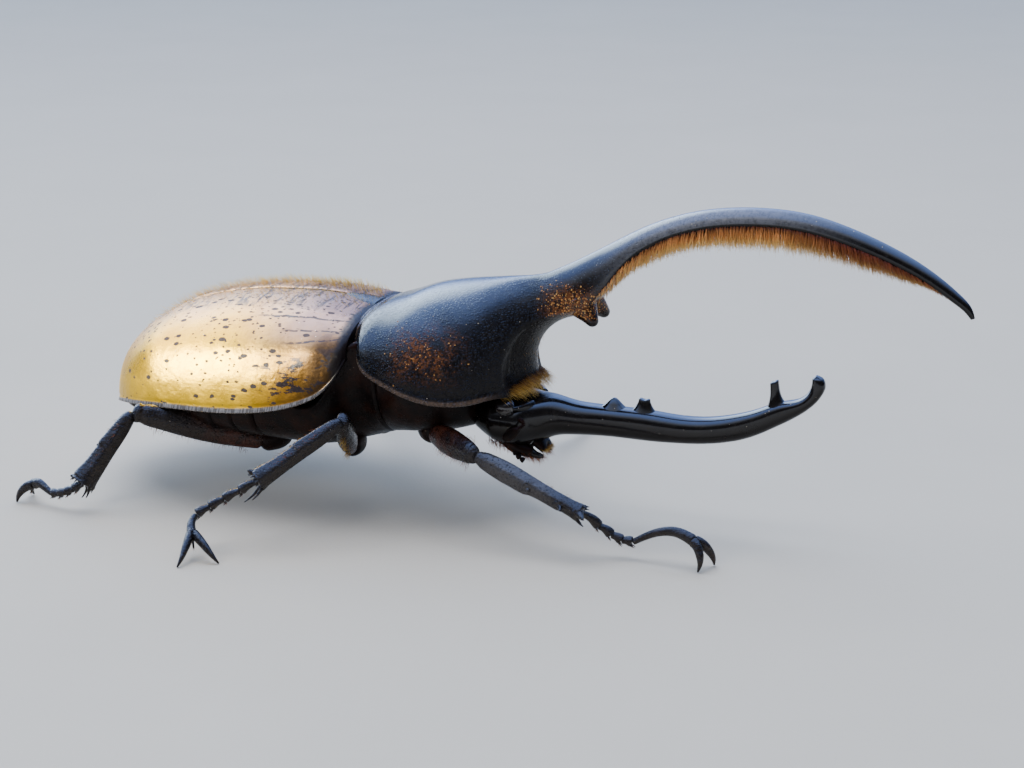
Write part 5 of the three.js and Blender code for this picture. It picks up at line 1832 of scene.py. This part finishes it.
def floor_card():
    """A wide floor with a faint mottling."""
    mesh = bpy.data.meshes.new("floor_card")
    corners = [(x * FLOOR_REACH, y * FLOOR_REACH, 0) for x, y in ((-1, -1), (1, -1), (1, 1), (-1, 1))]
    mesh.from_pydata(corners, [], [(0, 1, 2, 3)])
    tree, shader = finish("card")
    place = beetle_place(tree)
    fill(
        shader,
        Base_Color=mixed(noise(place, 0.02, 4.0), (0.52, 0.51, 0.49), (0.58, 0.565, 0.545)),
        Normal=relief((noise(place, 1.1, 5.0), 0.05)),
        Roughness=0.75,
    )
    mesh.materials.append(bpy.data.materials["card"])
    thing = bpy.data.objects.new("floor_card", mesh)
    bpy.context.scene.collection.objects.link(thing)


floor_card()

# %% Sky
# Directions of the sky's bright parts.
LEFT_BEHIND = (-0.29, 0.86, 0.42)
HIGH_LEFT = (-0.20, 0.55, 0.81)
BRIGHT_GAP = (-0.745, 0.496, 0.446)
ZENITH = (-0.25, 0.10, 0.96)


def sky():
    """A dome that glossy surfaces see brighter in three places."""
    world = bpy.context.scene.world or bpy.data.worlds.new("sky")
    bpy.context.scene.world = world
    world.use_nodes = True
    tree = world.node_tree
    outward = Wire(add_node(tree, "ShaderNodeTexCoord").outputs["Generated"])
    glossy = Wire(add_node(tree, "ShaderNodeLightPath").outputs["Is Glossy Ray"])
    left, high, gap, zenith = (
        vector_sum(outward, "DOT_PRODUCT", way) for way in (LEFT_BEHIND, HIGH_LEFT, BRIGHT_GAP, ZENITH)
    )
    lit = step(left, 0.15, 0.95) * 2.3 + 0.10
    seen = step(high, 0.1, 0.78) * 1.1 + step(zenith, 0.25, 0.88) * 3.2
    seen = seen + step(gap, 0.80, 0.99) * 5.0 + 0.10
    matt_tone = mixed(step(left, 0.15, 0.95), (0.80, 0.88, 1.0), (0.66, 0.80, 1.0))
    gloss_tone = layered(
        mixed(step(high, 0.0, 0.45), (0.60, 0.66, 0.80), (0.29, 0.46, 1.0)),
        (step(gap, 0.80, 0.97), (0.60, 0.77, 1.0)),
    )
    colour = mixed(glossy, matt_tone, gloss_tone)
    fill(tree.nodes["Background"], Color=colour, Strength=(seen - lit) * glossy + lit)


sky()

# %% Lamps
GOLD = [-15, 0, 22]  # middle of the wing cases


def soft_box(name, start, target, size, power, colour, kind):
    """A lamp that faces a target and reaches only matt or only glossy rays. Its sides are in metres."""
    lamp = bpy.data.lights.new(name, "AREA")
    lamp.shape = "RECTANGLE"
    lamp.size, lamp.size_y = size
    lamp.energy = power
    lamp.color = colour
    thing = bpy.data.objects.new(name, lamp)
    thing.visible_glossy = kind == "glossy"
    thing.visible_diffuse = kind == "matt"
    thing.visible_camera = False
    aim(thing, start, target)
    return thing


soft_box("overhead", [-60, 60, 700], [20, 0, 20], (0.6, 0.6), 5.0, (1.0, 0.97, 0.93), "matt")
soft_box("front_fill", [-200, -700, 420], [10, 0, 20], (0.4, 0.4), 3.0, (1.0, 0.96, 0.90), "matt")
gold_lamps = [
    soft_box("left_front", [-480, -460, 320], GOLD, (0.48, 0.4), 50.0, (1.0, 0.97, 0.80), "glossy"),
    soft_box("above_left", [-650, 220, 760], GOLD, (0.95, 0.85), 34.0, (1.0, 0.95, 0.93), "glossy"),
]
wing_cases = bpy.data.collections.new("wing_cases")
for word, _ in SIDES:
    wing_cases.objects.link(bpy.data.objects[f"wing_case_{word}"])
for lamp in gold_lamps:
    lamp.light_linking.receiver_collection = wing_cases
print("lamps:", [lamp.name for lamp in bpy.data.lights])
